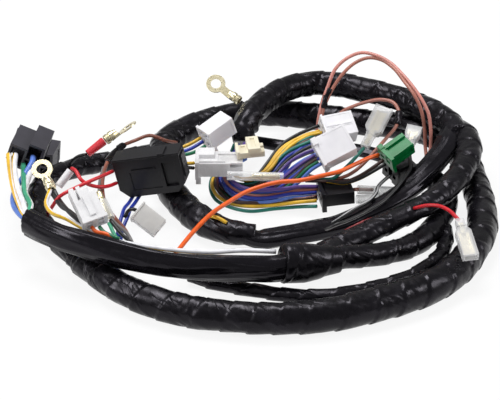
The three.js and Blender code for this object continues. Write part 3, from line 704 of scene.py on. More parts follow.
lay_wires("wires_brown_grey", [
    ("brown", None, [
        (-0.044, 0.086, 0.0148), (-0.05, 0.079, 0.02), (-0.059, 0.074, 0.026), (-0.067, 0.07, 0.025),
        (-0.076, 0.063, 0.024), (-0.081, 0.052, 0.023), (-0.083, 0.039, 0.022), (-0.083, 0.022, 0.021),
        (-0.08, 0.004, 0.02), (-0.074, -0.009, 0.019), (-0.067, -0.022, 0.018), (-0.0625, -0.036, 0.016),
        (-0.061, -0.046, 0.0163), (-0.06, -0.0515, 0.0187),
    ]),
    ("grey", None, [
        (-0.084, 0.045, 0.0205), (-0.085, 0.03, 0.0195), (-0.084, 0.015, 0.019), (-0.08, 0.002, 0.0185),
        (-0.074, -0.012, 0.018), (-0.066, -0.025, 0.018), (-0.0615, -0.038, 0.0158),
        (-0.0598, -0.047, 0.016), (-0.0592, -0.052, 0.0186),
    ]),
])
lay_wires("wires_flasher", [
    ("blue", None, [
        (-0.0665, 0.031, 0.0099), (-0.0683, 0.02, 0.0116), (-0.07, 0.008, 0.015), (-0.0705, -0.003, 0.0172),
        (-0.072, -0.012, 0.014), (-0.072, -0.026, 0.012), (-0.07, -0.038, 0.014), (-0.066, -0.046, 0.017),
        (-0.063, -0.0505, 0.0195),
    ]),
    ("blue", "black", [
        (-0.0625, 0.0305, 0.0109), (-0.0648, 0.02, 0.0117), (-0.0666, 0.008, 0.0146),
        (-0.0674, -0.0035, 0.0164), (-0.07, -0.013, 0.013), (-0.07, -0.026, 0.011),
        (-0.068, -0.038, 0.0135), (-0.065, -0.046, 0.0165), (-0.063, -0.051, 0.019),
    ]),
    ("black", None, [
        (-0.0625, -0.0047, 0.0212), (-0.065, -0.0036, 0.0214), (-0.0675, -0.0032, 0.0192),
        (-0.0688, -0.005, 0.0166),
    ]),
])
lay_wires("wires_rear_white", [
    ("yellow", None, [
        (-0.029, 0.0755, 0.0236), (-0.036, 0.072, 0.021), (-0.043, 0.0695, 0.0195), (-0.049, 0.071, 0.018),
    ]),
    ("blue", None, [
        (-0.0275, 0.072, 0.0231), (-0.035, 0.0685, 0.02), (-0.042, 0.067, 0.0185), (-0.049, 0.07, 0.0175),
    ]),
    ("green", None, [
        (-0.026, 0.0685, 0.0221), (-0.033, 0.065, 0.0195), (-0.041, 0.065, 0.0178), (-0.049, 0.069, 0.0172),
    ]),
])
lay_wires("wires_latch", [
    ("yellow", None, [
        (-0.0324, 0.044, 0.024), (-0.036, 0.049, 0.021), (-0.041, 0.055, 0.0182), (-0.0455, 0.0575, 0.0174),
    ]),
    ("black", "yellow", [
        (-0.0324, 0.041, 0.0225), (-0.036, 0.047, 0.0195), (-0.041, 0.054, 0.0172),
        (-0.0455, 0.0565, 0.0168),
    ]),
])
lay_wires("orange_wire", [("orange", None, [
    (-0.0408, -0.055, 0.021), (-0.037, -0.042, 0.02), (-0.029, -0.022, 0.02), (-0.021, -0.006, 0.02),
    (-0.012, 0.008, 0.019), (-0.003, 0.017, 0.02), (0.007, 0.021, 0.022), (0.017, 0.022, 0.024),
    (0.028, 0.022, 0.025), (0.039, 0.025, 0.026), (0.051, 0.03, 0.0265), (0.06, 0.0365, 0.0275),
    (0.067, 0.042, 0.028), (0.0737, 0.0466, 0.028),
])], thick_wire)
lay_wires("wires_ring_top", [
    ("black", None, [
        (-0.0056, 0.122, 0.024), (-0.003, 0.1205, 0.0225), (0.0, 0.119, 0.021), (0.0044, 0.1168, 0.0202),
    ]),
    ("black", None, [
        (-0.0054, 0.1205, 0.0236), (-0.003, 0.119, 0.022), (0.0, 0.118, 0.0203), (0.004, 0.1158, 0.0196),
    ]),
])
centre_wires = [
    ("teal", None, [
        (-0.005, 0.081, 0.012), (-0.015, 0.067, 0.012), (-0.021, 0.058, 0.009), (-0.023, 0.048, 0.006),
        (-0.02, 0.039, 0.003), (-0.012, 0.032, 0.002), (0.0, 0.027, 0.002), (0.014, 0.028, 0.003),
        (0.029, 0.027, 0.005), (0.038, 0.024, 0.007),
    ]),
    ("yellow", None, [
        (-0.005, 0.081, 0.012), (-0.015, 0.065, 0.013), (-0.02, 0.056, 0.01), (-0.022, 0.046, 0.008),
        (-0.018, 0.038, 0.005), (-0.011, 0.034, 0.003), (0.001, 0.029, 0.004), (0.015, 0.029, 0.005),
        (0.028, 0.027, 0.008), (0.038, 0.027, 0.009),
    ]),
    ("dark_brown", "brown", [
        (-0.005, 0.081, 0.012), (-0.013, 0.068, 0.013), (-0.018, 0.057, 0.011), (-0.02, 0.045, 0.009),
        (-0.016, 0.039, 0.006), (-0.009, 0.033, 0.005), (0.003, 0.03, 0.006), (0.017, 0.031, 0.007),
        (0.03, 0.029, 0.009), (0.038, 0.03, 0.01),
    ]),
    ("blue", None, [
        (-0.005, 0.081, 0.012), (-0.011, 0.066, 0.014), (-0.015, 0.053, 0.013), (-0.015, 0.044, 0.011),
        (-0.01, 0.037, 0.009), (-0.001, 0.032, 0.008), (0.01, 0.03, 0.009), (0.023, 0.031, 0.011),
        (0.031, 0.032, 0.011), (0.038, 0.033, 0.011),
    ]),
    ("blue", None, [
        (-0.005, 0.081, 0.012), (-0.009, 0.064, 0.015), (-0.012, 0.054, 0.014), (-0.012, 0.044, 0.013),
        (-0.006, 0.036, 0.012), (0.003, 0.032, 0.012), (0.014, 0.031, 0.013), (0.027, 0.034, 0.013),
        (0.038, 0.036, 0.012),
    ]),
    ("light_blue", "pink", [
        (-0.005, 0.081, 0.012), (-0.014, 0.064, 0.011), (-0.016, 0.051, 0.009), (-0.01, 0.043, 0.007),
        (0.0, 0.037, 0.008), (0.01, 0.039, 0.011), (0.019, 0.048, 0.015), (0.027, 0.06, 0.022),
        (0.034, 0.066, 0.025), (0.041, 0.068, 0.0276),
    ]),
    ("black", "green", [
        (-0.005, 0.081, 0.012), (-0.012, 0.062, 0.012), (-0.012, 0.052, 0.01), (-0.005, 0.044, 0.009),
        (0.005, 0.043, 0.011), (0.014, 0.053, 0.016), (0.022, 0.062, 0.022), (0.031, 0.066, 0.025),
        (0.041, 0.071, 0.0276),
    ]),
    ("yellow", None, [
        (-0.005, 0.081, 0.012), (-0.01, 0.058, 0.013), (-0.007, 0.048, 0.012), (0.001, 0.046, 0.013),
        (0.009, 0.05, 0.016), (0.016, 0.06, 0.02), (0.023, 0.067, 0.024), (0.033, 0.073, 0.027),
        (0.041, 0.074, 0.0286),
    ]),
    ("black", None, [
        (-0.005, 0.081, 0.012), (-0.016, 0.062, 0.008), (-0.016, 0.049, 0.006), (-0.008, 0.041, 0.004),
        (0.003, 0.036, 0.006), (0.014, 0.038, 0.01), (0.024, 0.042, 0.017), (0.032, 0.042, 0.024),
        (0.0382, 0.0422, 0.0283),
    ]),
    ("green", "black", [
        (-0.005, 0.081, 0.012), (-0.018, 0.066, 0.007), (-0.019, 0.049, 0.005), (-0.01, 0.039, 0.003),
        (0.003, 0.035, 0.004), (0.015, 0.035, 0.009), (0.026, 0.038, 0.016), (0.033, 0.038, 0.024),
        (0.039, 0.0394, 0.0276),
    ]),
]
fan_out = 0.0042


def fanned(points, share):
    """The points, with the first moved to its own place in the mouth of the top trunk"""
    angle = 2 * math.pi * share
    start = Vector(points[0]) + fan_out * Vector((math.cos(angle), 0, math.sin(angle)))
    return [start, *points[1:]]


lay_wires("wires_centre", [
    (main, tracer, fanned(points, i / len(centre_wires)))
    for i, (main, tracer, points) in enumerate(centre_wires)
])
between_wires = [
    ("brown", None, 2, (0.0006, 0.0012, -0.0019)), ("light_blue", None, 3, (0.0004, -0.0006, -0.0021)),
    ("purple", "white", 4, (0.0008, -0.0014, 0.0019)), ("blue", None, 5, (-0.0009, -0.0021, 0.0004)),
    ("teal", None, 6, (-0.0014, 0.0018, 0.0002)), ("yellow", "black", 7, (0.0012, -0.0019, 0.0003)),
    ("purple", "white", 8, (-0.0012, 0.0016, 0.0010)), ("blue", None, 8, (0.0017, -0.0012, 0.0009)),
    ("dark_brown", "pink", 9, (0.0002, 0.0019, 0.0012)), ("light_blue", None, 9, (0.0016, -0.0014, -0.0006)),
    ("pink", "grey", 3, (0.0006, 0.0018, 0.0012)), ("teal", None, 4, (0.0002, 0.0012, -0.0021)),
]
lay_wire("red_wire_between", [
    (0.076, -0.005, 0.0135), (0.0705, -0.0015, 0.0142), (0.0645, -0.0035, 0.0138), (0.0575, -0.0072, 0.0124),
    (0.0515, -0.0118, 0.0112), (0.048, -0.0185, 0.0096),
], "dark_red")
lay_wire("yellow_wire_end", [
    (-0.024, 0.001, 0.014), (-0.0205, -0.0035, 0.0166), (-0.0172, -0.0055, 0.0166),
    (-0.0128, -0.0078, 0.015),
], "yellow")
between_turn = 0.04
for i, (main, tracer, beside, shift) in enumerate(between_wires):
    points = [Vector(point) + Vector(shift) for point in centre_wires[beside][2]]
    points = fanned(points, i / len(between_wires) + between_turn)
    lay_wire(f"wires_between_{i + 1}", points, main, tracer)

fan_under = [
    (-0.004, 0.036, 0.0065), (0.005, 0.036, 0.0085), (0.015, 0.0395, 0.0125), (0.024, 0.0445, 0.0185),
    (0.032, 0.046, 0.0235), (0.042, 0.049, 0.0265),
]
fan_over = [
    (-0.0035, 0.045, 0.0085), (0.004, 0.0465, 0.0115), (0.0105, 0.0535, 0.0155), (0.019, 0.064, 0.0215),
    (0.029, 0.069, 0.0255), (0.041, 0.073, 0.0285),
]
fan_wander = 0.05
fan_roll = 0.17
for i, (share, lift, main, tracer) in enumerate([
    (0.08, 0.0, "blue", None), (0.2, -0.0012, "light_blue", "purple"), (0.3, 0.0006, "purple", "white"),
    (0.42, -0.0008, "dark_brown", "brown"), (0.52, 0.0004, "black", None), (0.64, -0.001, "blue", None),
    (0.76, 0.0008, "teal", None), (0.88, -0.001, "pink", "grey"), (1.02, 0.0006, "yellow", None),
    (1.12, -0.001, "teal", "grey"), (1.24, 0.0006, "black", None),
]):
    points = [
        Vector(low).lerp(Vector(high), share + fan_wander * math.sin(2.1 * i + k)) + Vector((0, 0, lift))
        for k, (low, high) in enumerate(zip(fan_under, fan_over))
    ]
    lay_wire(f"wires_fan_{i + 1}", points, main, tracer, roll=fan_roll * i)

lay_wires(
    "wires_pink_brown_arc", [("pale_brown", None, [
        (0.049, 0.099, 0.0082), (0.05, 0.1, 0.019), (0.055, 0.102, 0.027), (0.062, 0.102, 0.031),
        (0.07, 0.1, 0.035), (0.078, 0.097, 0.038), (0.085, 0.093, 0.038), (0.088, 0.086, 0.035),
        (0.086, 0.077, 0.031), (0.08, 0.068, 0.028), (0.073, 0.058, 0.025), (0.066, 0.05, 0.021),
        (0.06, 0.045, 0.018), (0.0545, 0.042, 0.0163),
    ])],
    into=[(0.046, 0.043, 0.0135), (0.034, 0.048, 0.0135)],
)
lay_wires(
    "wire_blade_green", [("teal", None, [
        (0.066, 0.06, 0.025), (0.062, 0.054, 0.0235), (0.057, 0.047, 0.0215), (0.052, 0.043, 0.0185),
        (0.048, 0.0405, 0.016),
    ])],
    into=[(0.042, 0.041, 0.0150), (0.030, 0.045, 0.0145)],
)
lay_wires("wires_green_connector", [
    ("dark_brown", None, [
        (0.0764, 0.0437, 0.0263), (0.07, 0.041, 0.0225), (0.062, 0.038, 0.0185), (0.054, 0.036, 0.0162),
    ]),
    ("black", "yellow", [
        (0.0774, 0.0408, 0.0253), (0.07, 0.0385, 0.0215), (0.062, 0.0365, 0.0178), (0.054, 0.035, 0.016),
    ]),
], into=[(0.044, 0.037, 0.0160), (0.032, 0.042, 0.0135)])
lay_wires("wire_striped", [("black", "silver", [
    (0.0805, 0.0485, 0.013), (0.076, 0.043, 0.012), (0.073, 0.036, 0.0125), (0.0715, 0.027, 0.014),
    (0.067, 0.017, 0.0146), (0.0585, 0.0095, 0.0138), (0.051, 0.0035, 0.0118), (0.0455, 0.0015, 0.0088),
    (0.0405, 0.001, 0.0058),
])], roll=0.45)
lay_wires("wire_front_black", [("brown", None, [
    (0.0593, 0.037, 0.0105), (0.062, 0.039, 0.0096), (0.066, 0.0405, 0.0086), (0.071, 0.0416, 0.0078),
])])
lay_wires(
    "wire_thin_black", [("black", "grey", [
        (0.0923, 0.0614, 0.0257), (0.0925, 0.056, 0.0225), (0.092, 0.044, 0.0205), (0.088, 0.0355, 0.019),
        (0.082, 0.026, 0.0165), (0.074, 0.016, 0.0142), (0.064, 0.008, 0.0124), (0.054, 0.0, 0.0118),
        (0.047, -0.004, 0.0113),
    ])],
    into=[(0.0425, -0.0035, 0.0085), (0.038, -0.001, 0.0055)],
)
lay_wires("wires_pink_loop", [
    ("pink", None, [
        (0.04, 0.098, 0.0082), (0.041, 0.1, 0.022), (0.043, 0.104, 0.031), (0.047, 0.11, 0.041),
        (0.051, 0.115, 0.049), (0.058, 0.12, 0.054), (0.067, 0.122, 0.057), (0.076, 0.118, 0.057),
        (0.084, 0.112, 0.055), (0.09, 0.104, 0.052), (0.096, 0.095, 0.048), (0.101, 0.0875, 0.043),
        (0.105, 0.0825, 0.036), (0.1065, 0.079, 0.027), (0.1065, 0.075, 0.018), (0.1055, 0.071, 0.0135),
    ]),
    ("pale_brown", None, [
        (0.0415, 0.098, 0.0082), (0.0425, 0.1, 0.022), (0.045, 0.104, 0.031), (0.05, 0.109, 0.04),
        (0.056, 0.114, 0.047), (0.063, 0.118, 0.052), (0.071, 0.119, 0.055), (0.079, 0.116, 0.055),
        (0.086, 0.108, 0.053), (0.091, 0.098, 0.05), (0.097, 0.088, 0.045), (0.101, 0.0835, 0.037),
        (0.103, 0.081, 0.027), (0.1035, 0.077, 0.018), (0.104, 0.0715, 0.0133),
    ]),
])
lay_wires("wire_red_blade", [("red", None, [
    (0.0905, -0.0012, 0.0204), (0.097, -0.006, 0.025), (0.103, -0.01, 0.027), (0.108, -0.017, 0.028),
    (0.112, -0.026, 0.0276),
])])

# Tape wraps
# Where two wires run side by side, a few turns of the same black tape hold them together.
wrap_radius = 0.0019
wrap_step = 0.0008
wrap_sides = 16


def tape_wrap(name, points):
    path = smooth_route(points, wrap_step)
    shape = taped(wrap_radius, route_length(path), 0.9, 0.9, (0.001, 0.001), seed=len(name), loose=2.5)
    piece = tube_piece(name, path, shape, wrap_sides, black_tape, flat=(1.25, 0.9))
    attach(piece, "root")


tape_wrap("pink_loop_wrap", [(0.0435, 0.1032, 0.0292), (0.0455, 0.1062, 0.0345), (0.0478, 0.109, 0.0395)])
tape_wrap("brown_grey_wrap", [(-0.0735, 0.0655, 0.0243), (-0.0785, 0.0575, 0.0235), (-0.082, 0.0475, 0.0222)])
tape_wrap("brown_arc_wrap", [(0.0882, 0.0865, 0.0352), (0.0875, 0.0815, 0.0329), (0.0862, 0.0775, 0.0313)])

# Connector housings
# Moulded nylon shells, each with a collar at the back where the wires go in, a springy latch arm on top and
# open contact cavities in the mating face. White, cream, green and black ones plug into different units.
millimetre = 0.001


def brick(x0, x1, y0, y1, z0, z1):
    verts = [(x, y, z) for x in (x0, x1) for y in (y0, y1) for z in (z0, z1)]
    faces = [(0, 1, 3, 2), (4, 6, 7, 5), (0, 4, 5, 1), (2, 3, 7, 6), (0, 2, 6, 4), (1, 5, 7, 3)]
    return verts, faces


def bar(first, last):
    """A solid between two outlines that match point by point"""
    count = len(first)
    faces = [tuple(range(count))[::-1], tuple(range(count, 2 * count))]
    for i in range(count):
        k = (i + 1) % count
        faces.append((i, k, count + k, count + i))
    return [*first, *last], faces


def plate(outline, z0, z1):
    """A flat sheet with the outline's shape, in the plane of X and Y"""
    return bar([(x, y, z0) for x, y in outline], [(x, y, z1) for x, y in outline])


def prism(outline, x0, x1):
    """A bar along X whose section is the outline, in Y and Z"""
    return bar([(x0, y, z) for y, z in outline], [(x1, y, z) for y, z in outline])


def circle(radius, sides):
    turns = [2 * math.pi * i / sides for i in range(sides)]
    return [(radius * math.cos(turn), radius * math.sin(turn)) for turn in turns]


def rod(radius, x0, x1, y=0.0, z=0.0, sides=20):
    """A round bar along X"""
    return prism([(y + out, z + rise) for out, rise in circle(radius, sides)], x0, x1)


turned_sides = 28


def spin(profile, closed):
    """The rings of a profile of (distance, radius) points turned about X, and the bands between them"""
    verts = [(x, out, rise) for x, radius in profile for out, rise in circle(radius, turned_sides)]
    faces = []
    for a in range(len(profile) if closed else len(profile) - 1):
        first = a * turned_sides
        second = (a + 1) % len(profile) * turned_sides
        for i in range(turned_sides):
            k = (i + 1) % turned_sides
            faces.append((first + i, first + k, second + k, second + i))
    return verts, faces


def spun(profile):
    """A solid turned about X from (distance, radius) points, closed at both ends"""
    verts, faces = spin(profile, closed=False)
    last = len(verts) - turned_sides
    faces += [tuple(range(turned_sides))[::-1], tuple(range(last, len(verts)))]
    return verts, faces


def solid_object(name, verts, faces, weld=False):
    """An object from points in millimetres, with its faces turned outwards"""
    mesh = bpy.data.meshes.new(name)
    mesh.from_pydata([Vector(v) * millimetre for v in verts], [], faces)
    work = bmesh.new()
    work.from_mesh(mesh)
    if weld:
        bmesh.ops.remove_doubles(work, verts=work.verts, dist=1e-6)
    bmesh.ops.recalc_face_normals(work, faces=work.faces)
    work.to_mesh(mesh)
    work.free()
    made = bpy.data.objects.new(name, mesh)
    bpy.context.collection.objects.link(made)
    return made


def shapes_object(name, shapes):
    verts = []
    faces = []
    for shape_verts, shape_faces in shapes:
        faces += [tuple(len(verts) + k for k in face) for face in shape_faces]
        verts += shape_verts
    return solid_object(name, verts, faces)


sharp_edge = math.radians(38)


def moulded(name, shapes, hollows=(), *, edge):
    """A moulding made of joined shapes less its hollows, with edges softened by this much"""
    body = shapes_object(name, shapes[:1])
    helpers = []
    for operation, parts in (("UNION", shapes[1:]), ("DIFFERENCE", hollows)):
        if not parts:
            continue
        tool = shapes_object(name + "_" + operation.lower(), parts)
        step = body.modifiers.new(operation.lower(), "BOOLEAN")
        step.operation = operation
        step.solver = "EXACT"
        step.use_self = len(parts) > 1
        step.object = tool
        helpers.append(tool)
    soften = body.modifiers.new("edges", "BEVEL")
    soften.width = edge * millimetre
    soften.segments = 2
    soften.limit_method = "ANGLE"
    soften.angle_limit = sharp_edge
    for part in (body, *helpers):
        part.data.shade_smooth()
    flat_faces = body.modifiers.new("flat_faces", "WEIGHTED_NORMAL")
    flat_faces.weight = 100
    bpy.context.view_layer.update()
    shaped = body.evaluated_get(bpy.context.evaluated_depsgraph_get())
    final = bpy.data.meshes.new_from_object(shaped)
    body.modifiers.clear()
    body.data = final
    final.name = name
    for tool in helpers:
        bpy.data.objects.remove(tool)
    return body


def fitted(piece, material, node, at, forward, up):
    """Turns a piece drawn along +X so that it points forward with its top towards up, and finishes it"""
    x = Vector(forward).normalized()
    y = Vector(up).cross(x).normalized()
    turn = Matrix((x, y, x.cross(y))).transposed().to_4x4()
    piece.data.transform(Matrix.Translation(on_bench(at)) @ turn)
    piece.data.materials.clear()
    piece.data.materials.append(material)
    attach(piece, "root")
    if node:
        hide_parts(node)


moulding_marks, given, result = new_group(
    "moulding_marks",
    [("Base", colour, (0.5, 0.5, 0.5, 1)), ("Flow", colour, (0.6, 0.6, 0.6, 1)), ("Smooth", number, 0.3),
     ("Dull", number, 0.5)],
    [("Colour", colour), ("Roughness", number), ("Height", number)],
)
spot = add_node(moulding_marks, "ShaderNodeTexCoord").outputs["Object"]
cloud = add_node(moulding_marks, "ShaderNodeTexNoise", {"Vector": spot, "Scale": 90, "Detail": 2})
grit = add_node(moulding_marks, "ShaderNodeTexNoise", {"Vector": spot, "Scale": 1400}).outputs["Fac"]
flow = add_node(moulding_marks, "ShaderNodeMapRange", {
    "Value": cloud.outputs["Fac"], "From Min": 0.35, "From Max": 0.65,
})
blend = add_node(
    moulding_marks, "ShaderNodeMix",
    {"Factor": flow.outputs["Result"], "A": given.outputs["Base"], "B": given.outputs["Flow"]},
    data_type="RGBA",
)
gloss = add_node(moulding_marks, "ShaderNodeMapRange", {
    "Value": grit, "From Min": 0.3, "From Max": 0.7,
    "To Min": given.outputs["Smooth"], "To Max": given.outputs["Dull"],
})
feed(moulding_marks, result, {
    "Colour": blend.outputs["Result"], "Roughness": gloss.outputs["Result"], "Height": grit,
})
grain_depth = 0.00003
glow_depth = 0.004
rim_cover = 0.9


def moulding(name, base, flow, smooth, dull, subsurface=0.0, alpha=1.0, clear=0.0, metallic=0.0, shine=0.5):
    """A moulded or stamped surface, with slow flow marks and a fine grain. clear is the least cover of
    see-through vinyl, which is seen best at its rims."""
    looks = {"Base": (*base, 1), "Flow": (*flow, 1), "Smooth": smooth, "Dull": dull}
    skin = {"Metallic": metallic, "Specular IOR Level": shine, "Alpha": alpha}
    if subsurface:
        skin["Subsurface Weight"] = subsurface
        skin["Subsurface Radius"] = (glow_depth, glow_depth, glow_depth)
        skin["Subsurface Scale"] = 1.0
    material = finished(name, moulding_marks, looks, 0.5, grain_depth, skin)
    if clear:
        tree = material.node_tree
        facing = add_node(tree, "ShaderNodeLayerWeight", {"Blend": 0.35})
        rim = add_node(tree, "ShaderNodeMapRange", {
            "Value": facing.outputs["Facing"], "To Min": clear, "To Max": rim_cover,
        })
        feed(tree, tree.nodes["Principled BSDF"], {"Alpha": rim.outputs["Result"]})
    return material


white_nylon = moulding(
    "white_nylon", (0.75, 0.74, 0.775), (0.81, 0.80, 0.83), 0.28, 0.42, subsurface=0.35,
)
cream_nylon = moulding(
    "cream_nylon", (0.72, 0.66, 0.50), (0.78, 0.73, 0.58), 0.3, 0.45, subsurface=0.3,
)
green_nylon = moulding(
    "green_nylon", (0.0015, 0.15, 0.035), (0.003, 0.19, 0.05), 0.25, 0.38, shine=0.22,
)
black_plastic = moulding(
    "black_plastic", (0.0045, 0.0042, 0.006), (0.007, 0.0065, 0.009), 0.3, 0.42, shine=0.35,
)
socket_plastic = moulding("socket_plastic", (0.022, 0.020, 0.029), (0.030, 0.028, 0.039), 0.42, 0.56)
milky_nylon = moulding(
    "milky_nylon", (0.78, 0.775, 0.79), (0.84, 0.835, 0.85), 0.2, 0.36, subsurface=0.3, alpha=0.88,
)
clear_vinyl = moulding("clear_vinyl", (0.86, 0.87, 0.88), (0.90, 0.91, 0.92), 0.06, 0.16, clear=0.17)
plate_nylon = moulding(
    "plate_nylon", (0.60, 0.59, 0.58), (0.66, 0.65, 0.63), 0.26, 0.42, subsurface=0.3, alpha=0.92,
)
frosted_vinyl = moulding("frosted_vinyl", (0.80, 0.80, 0.81), (0.85, 0.85, 0.86), 0.1, 0.22, clear=0.27)
contact_brass = moulding("contact_brass", (0.78, 0.69, 0.44), (0.84, 0.77, 0.55), 0.25, 0.4, metallic=1.0)


def contact_slots(length, width, height, columns, rows):
    """The contact cavities in a shell's mating face, and the openings for the wires in its back"""
    wall = 1.2
    widest = 3.6
    tallest = 1.6
    wire_depth = 2.2
    wire_rise = 1.25
    wide = min(widest, width / columns - wall)
    high = min(tallest, height / rows - wall) + 0.4
    side = wide / 2
    rise = high / 2
    back = 0.36 * wide + 0.4
    depth = 0.45 * length
    hollows = []
    for column in range(columns):
        for row in range(rows):
            y = width * ((column + 0.5) / columns - 0.5)
            z = height * ((row + 0.5) / rows - 0.5)
            hollows.append(brick(length - depth, length + 1, y - side, y + side, z - rise, z + rise))
            hollows.append(brick(-1, wire_depth, y - back, y + back, z - wire_rise, z + wire_rise))
    return hollows


def shell(name, length, width, height, material, at, forward, up, columns=2, rows=2, wings=(), extra=(),
          cuts=(), edge=0.4):
    """A multi-way connector shell: a block with wings round its back, extra shapes and cuts"""
    shapes = [brick(0, length, -width / 2, width / 2, -height / 2, height / 2), *wings, *extra]
    hollows = [*contact_slots(length, width, height, columns, rows), *cuts]
    piece = moulded(name + "_shell", shapes, hollows, edge=edge)
    fitted(piece, material, name, at, forward, up)


shell(
    "connector_rear_white", 18.5, 11.5, 11.5, white_nylon,
    (-0.0265, 0.0725, 0.0246), (0.76, 0.56, 0.33), (-0.27, -0.2, 0.94),
    wings=[brick(0, 1.6, -6.9, 6.4, -7.2, 6.6), brick(0, 2.6, -6.4, -2.5, -8.2, -5)],
    cuts=[brick(3.2, 16.8, -7, -5.4, -4, 4)],
)
shell(
    "connector_white_back", 19, 15, 11, white_nylon,
    (0.0425, 0.072, 0.0294), (0.96, 0.28, 0.07), (0.08, -0.51, 0.86), columns=3,
    wings=[brick(0, 1.3, -8.2, 8.2, -6.2, 6.3)],
    extra=[brick(1, 17, -0.5, 0.5, 5.2, 5.9)],
    cuts=[brick(3, 17.4, 1.4, 6.4, 5.25, 7), brick(3, 17.4, -6.4, -1.4, 5.25, 7)],
)
shell(
    "connector_white_front", 21, 17, 11, white_nylon,
    (0.0385, 0.042, 0.030), (0.89, 0.27, 0.37), (-0.1, -0.67, 0.73), columns=3,
    wings=[
        brick(0, 1.8, -9.4, 8.6, -6.4, 6.4), brick(0, 3.2, 4, 8.4, 5, 7.4), brick(0, 3, -9.2, -4, -6.2, 0),
    ],
    cuts=[brick(7, 19.8, -7.4, 7.4, 5.3, 7)],
    edge=0.8,
)
shell(
    "latch_connector", 27, 15, 8.5, milky_nylon,
    (-0.0312, 0.043, 0.024), (1, 0, 0), (0, 0, 1), columns=3,
    wings=[brick(0, 2.2, -9.2, 8.6, -5.2, 5.6), brick(0.4, 3.2, -9.2, -6.6, -8.2, -4)],
    extra=[brick(2, 11, -1, 7.6, 4, 6.6), brick(2, 17, -6.4, -5.2, 4, 5.2)],
    cuts=[brick(13, 24, -4.4, 4.4, 3.4, 5), brick(20, 28, -8, -6.6, -5, 5), brick(20, 28, 6.6, 8, -5, 5)],
    edge=0.6,
)
shell(
    "green_connector", 17, 11, 8, green_nylon,
    (0.0773, 0.0435, 0.027), (0.8, 0.46, 0.38), (-0.19, -0.41, 0.89), rows=1,
    wings=[
        brick(0, 2.2, -6.8, 6.8, -5, 5.2), brick(0.3, 1.9, -7.4, -3.2, -6.6, -3),
        brick(0, 3, 3.4, 6.8, -5, 5.6),
    ],
    extra=[brick(2, 16.4, 2.4, 4.4, 3.6, 4.8), brick(2, 16.4, -5.5, -4.2, 3.6, 4.8)],
    cuts=[brick(3.4, 18, -4.2, 2.4, 3.2, 5), brick(3.4, 15.8, -6.5, -4.7, -1.2, 2.4)],
    edge=0.3,
)
shell(
    "black_connector", 15, 12, 8, black_plastic,
    (0.081, 0.0495, 0.014), (0.85, 0.52, 0.1), (0, -0.2, 0.98), columns=3, rows=1,
    wings=[brick(0, 1.8, -7.6, -1.9, -5.2, 5.2), brick(0, 1.8, 1.9, 7.6, -5.2, 5.2)],
    extra=[brick(2, 12, -5.4, -2.4, 3.6, 6.2), brick(2, 12, 2.4, 5.4, 3.6, 6.2)],
    cuts=[brick(-1, 3, -1.9, 1.9, 0.5, 6)],
    edge=0.5,
)
shell(
    "front_black_connector", 19, 16, 7.5, black_plastic,
    (0.0395, 0.032, 0.010), (0.99, 0.15, 0.05), (-0.05, -0.01, 1), columns=3, rows=1,
    wings=[brick(0, 1.8, -9.4, 9.0, -4.6, 5.4), brick(0, 2.6, -9.6, -7.4, -6.4, 3.4)],
    cuts=[brick(4.2, 17.4, -5.4, 5.6, 3.3, 5), brick(2.4, 3.4, -6.4, 6.4, 3.1, 5)],
    edge=0.35,
)
shell(
    "plate_connector", 16, 11, 7, plate_nylon,
    (-0.062, -0.005, 0.0208), (0.69, -0.36, -0.4), (0.16, -0.77, 0.62), rows=1,
    wings=[brick(0, 1.2, -6, 6, -4, 4)],
    edge=0.5,
)
shell(
    "left_clear_connector", 22, 13, 8.5, milky_nylon,
    (-0.0815, -0.040, 0.0339), (-0.42, 0.75, 0.51), (0.08, -0.53, 0.85),
    wings=[brick(0, 2.0, -7, 7, -4.8, 4.8)],
    extra=[brick(3, 15, -1.6, 1.6, 3.8, 5.4)],
    cuts=[brick(14, 23, 2.6, 4.0, -6, 6), brick(17, 23, -7, -3.4, -6, 6), brick(19.5, 23, -3.5, 0.4, -6, 6)],
    edge=0.6,
)

# Cream clip
# A small two-piece nylon holder that a bullet terminal snaps into. Its upright tab has a round opening.
clip = moulded(
    "cream_clip_body",
    [
        brick(0, 16, -4.5, 4.5, -2.4, 1.2), brick(6.5, 13.5, -5.5, 7.5, 0.4, 4.3),
        brick(9, 16, -3.5, 3.5, 0, 2.4), brick(0, 1.6, -5.2, 5.2, -2.4, 2.6),
    ],
    [
        brick(3, 5.6, -3, 3, 0.4, 3), rod(1.5, 10, 20, 0, 0.4), brick(8.6, 11.2, -3.6, 5.6, 3.5, 6),
        brick(14, 17, -4, 4, 1.5, 3),
    ],
    edge=0.35,
)
fitted(
    clip, cream_nylon, "cream_clip",
    (-0.008, 0.044, 0.0316), (0.99, 0.14, 0.04), (-0.01, -0.1, 0.99),
)


# Relay sockets
# Black moulded blocks with four deep pockets for the wires' contacts at the back and narrow slots in front
# for the relay's blades. One side is stepped so that the relay goes in only one way round.
def relay_socket(name, side, length, at, forward, up):
    wall = 1.6
    half = side / 2
    step = 0.24 * side
    chamfer = 0.2 * side
    outline = [
        (-half, -half + chamfer), (-half + chamfer, -half), (half - chamfer, -half), (half, -half + chamfer),
        (half, half - step), (-0.4, half - step), (-0.4, half), (-half, half),
    ]
    shapes = [
        prism(outline, 0, length),
        brick(length - 5, length - 3.8, -half - 0.4, half + 0.4, -half + chamfer, half - step),
    ]
    middle = -0.08 * side
    hollows = [
        brick(-1, 9, wall / 2, half - wall, -half + wall, half - step - wall),
        brick(-1, 9, -half + wall, -wall / 2, -half + wall, middle - wall / 2),
        brick(-1, 9, -half + wall, -wall / 2, middle + wall / 2, half - wall),
    ]
    for y in (-0.25 * side, 0.25 * side):
        for z in (-0.25 * side, 0.14 * side):
            hollows.append(brick(length - 6, length + 1, y - 1.9, y + 1.9, z - 0.8, z + 0.8))
    piece = moulded(name + "_block", shapes, hollows, edge=0.35)
    fitted(piece, socket_plastic, name, at, forward, up)


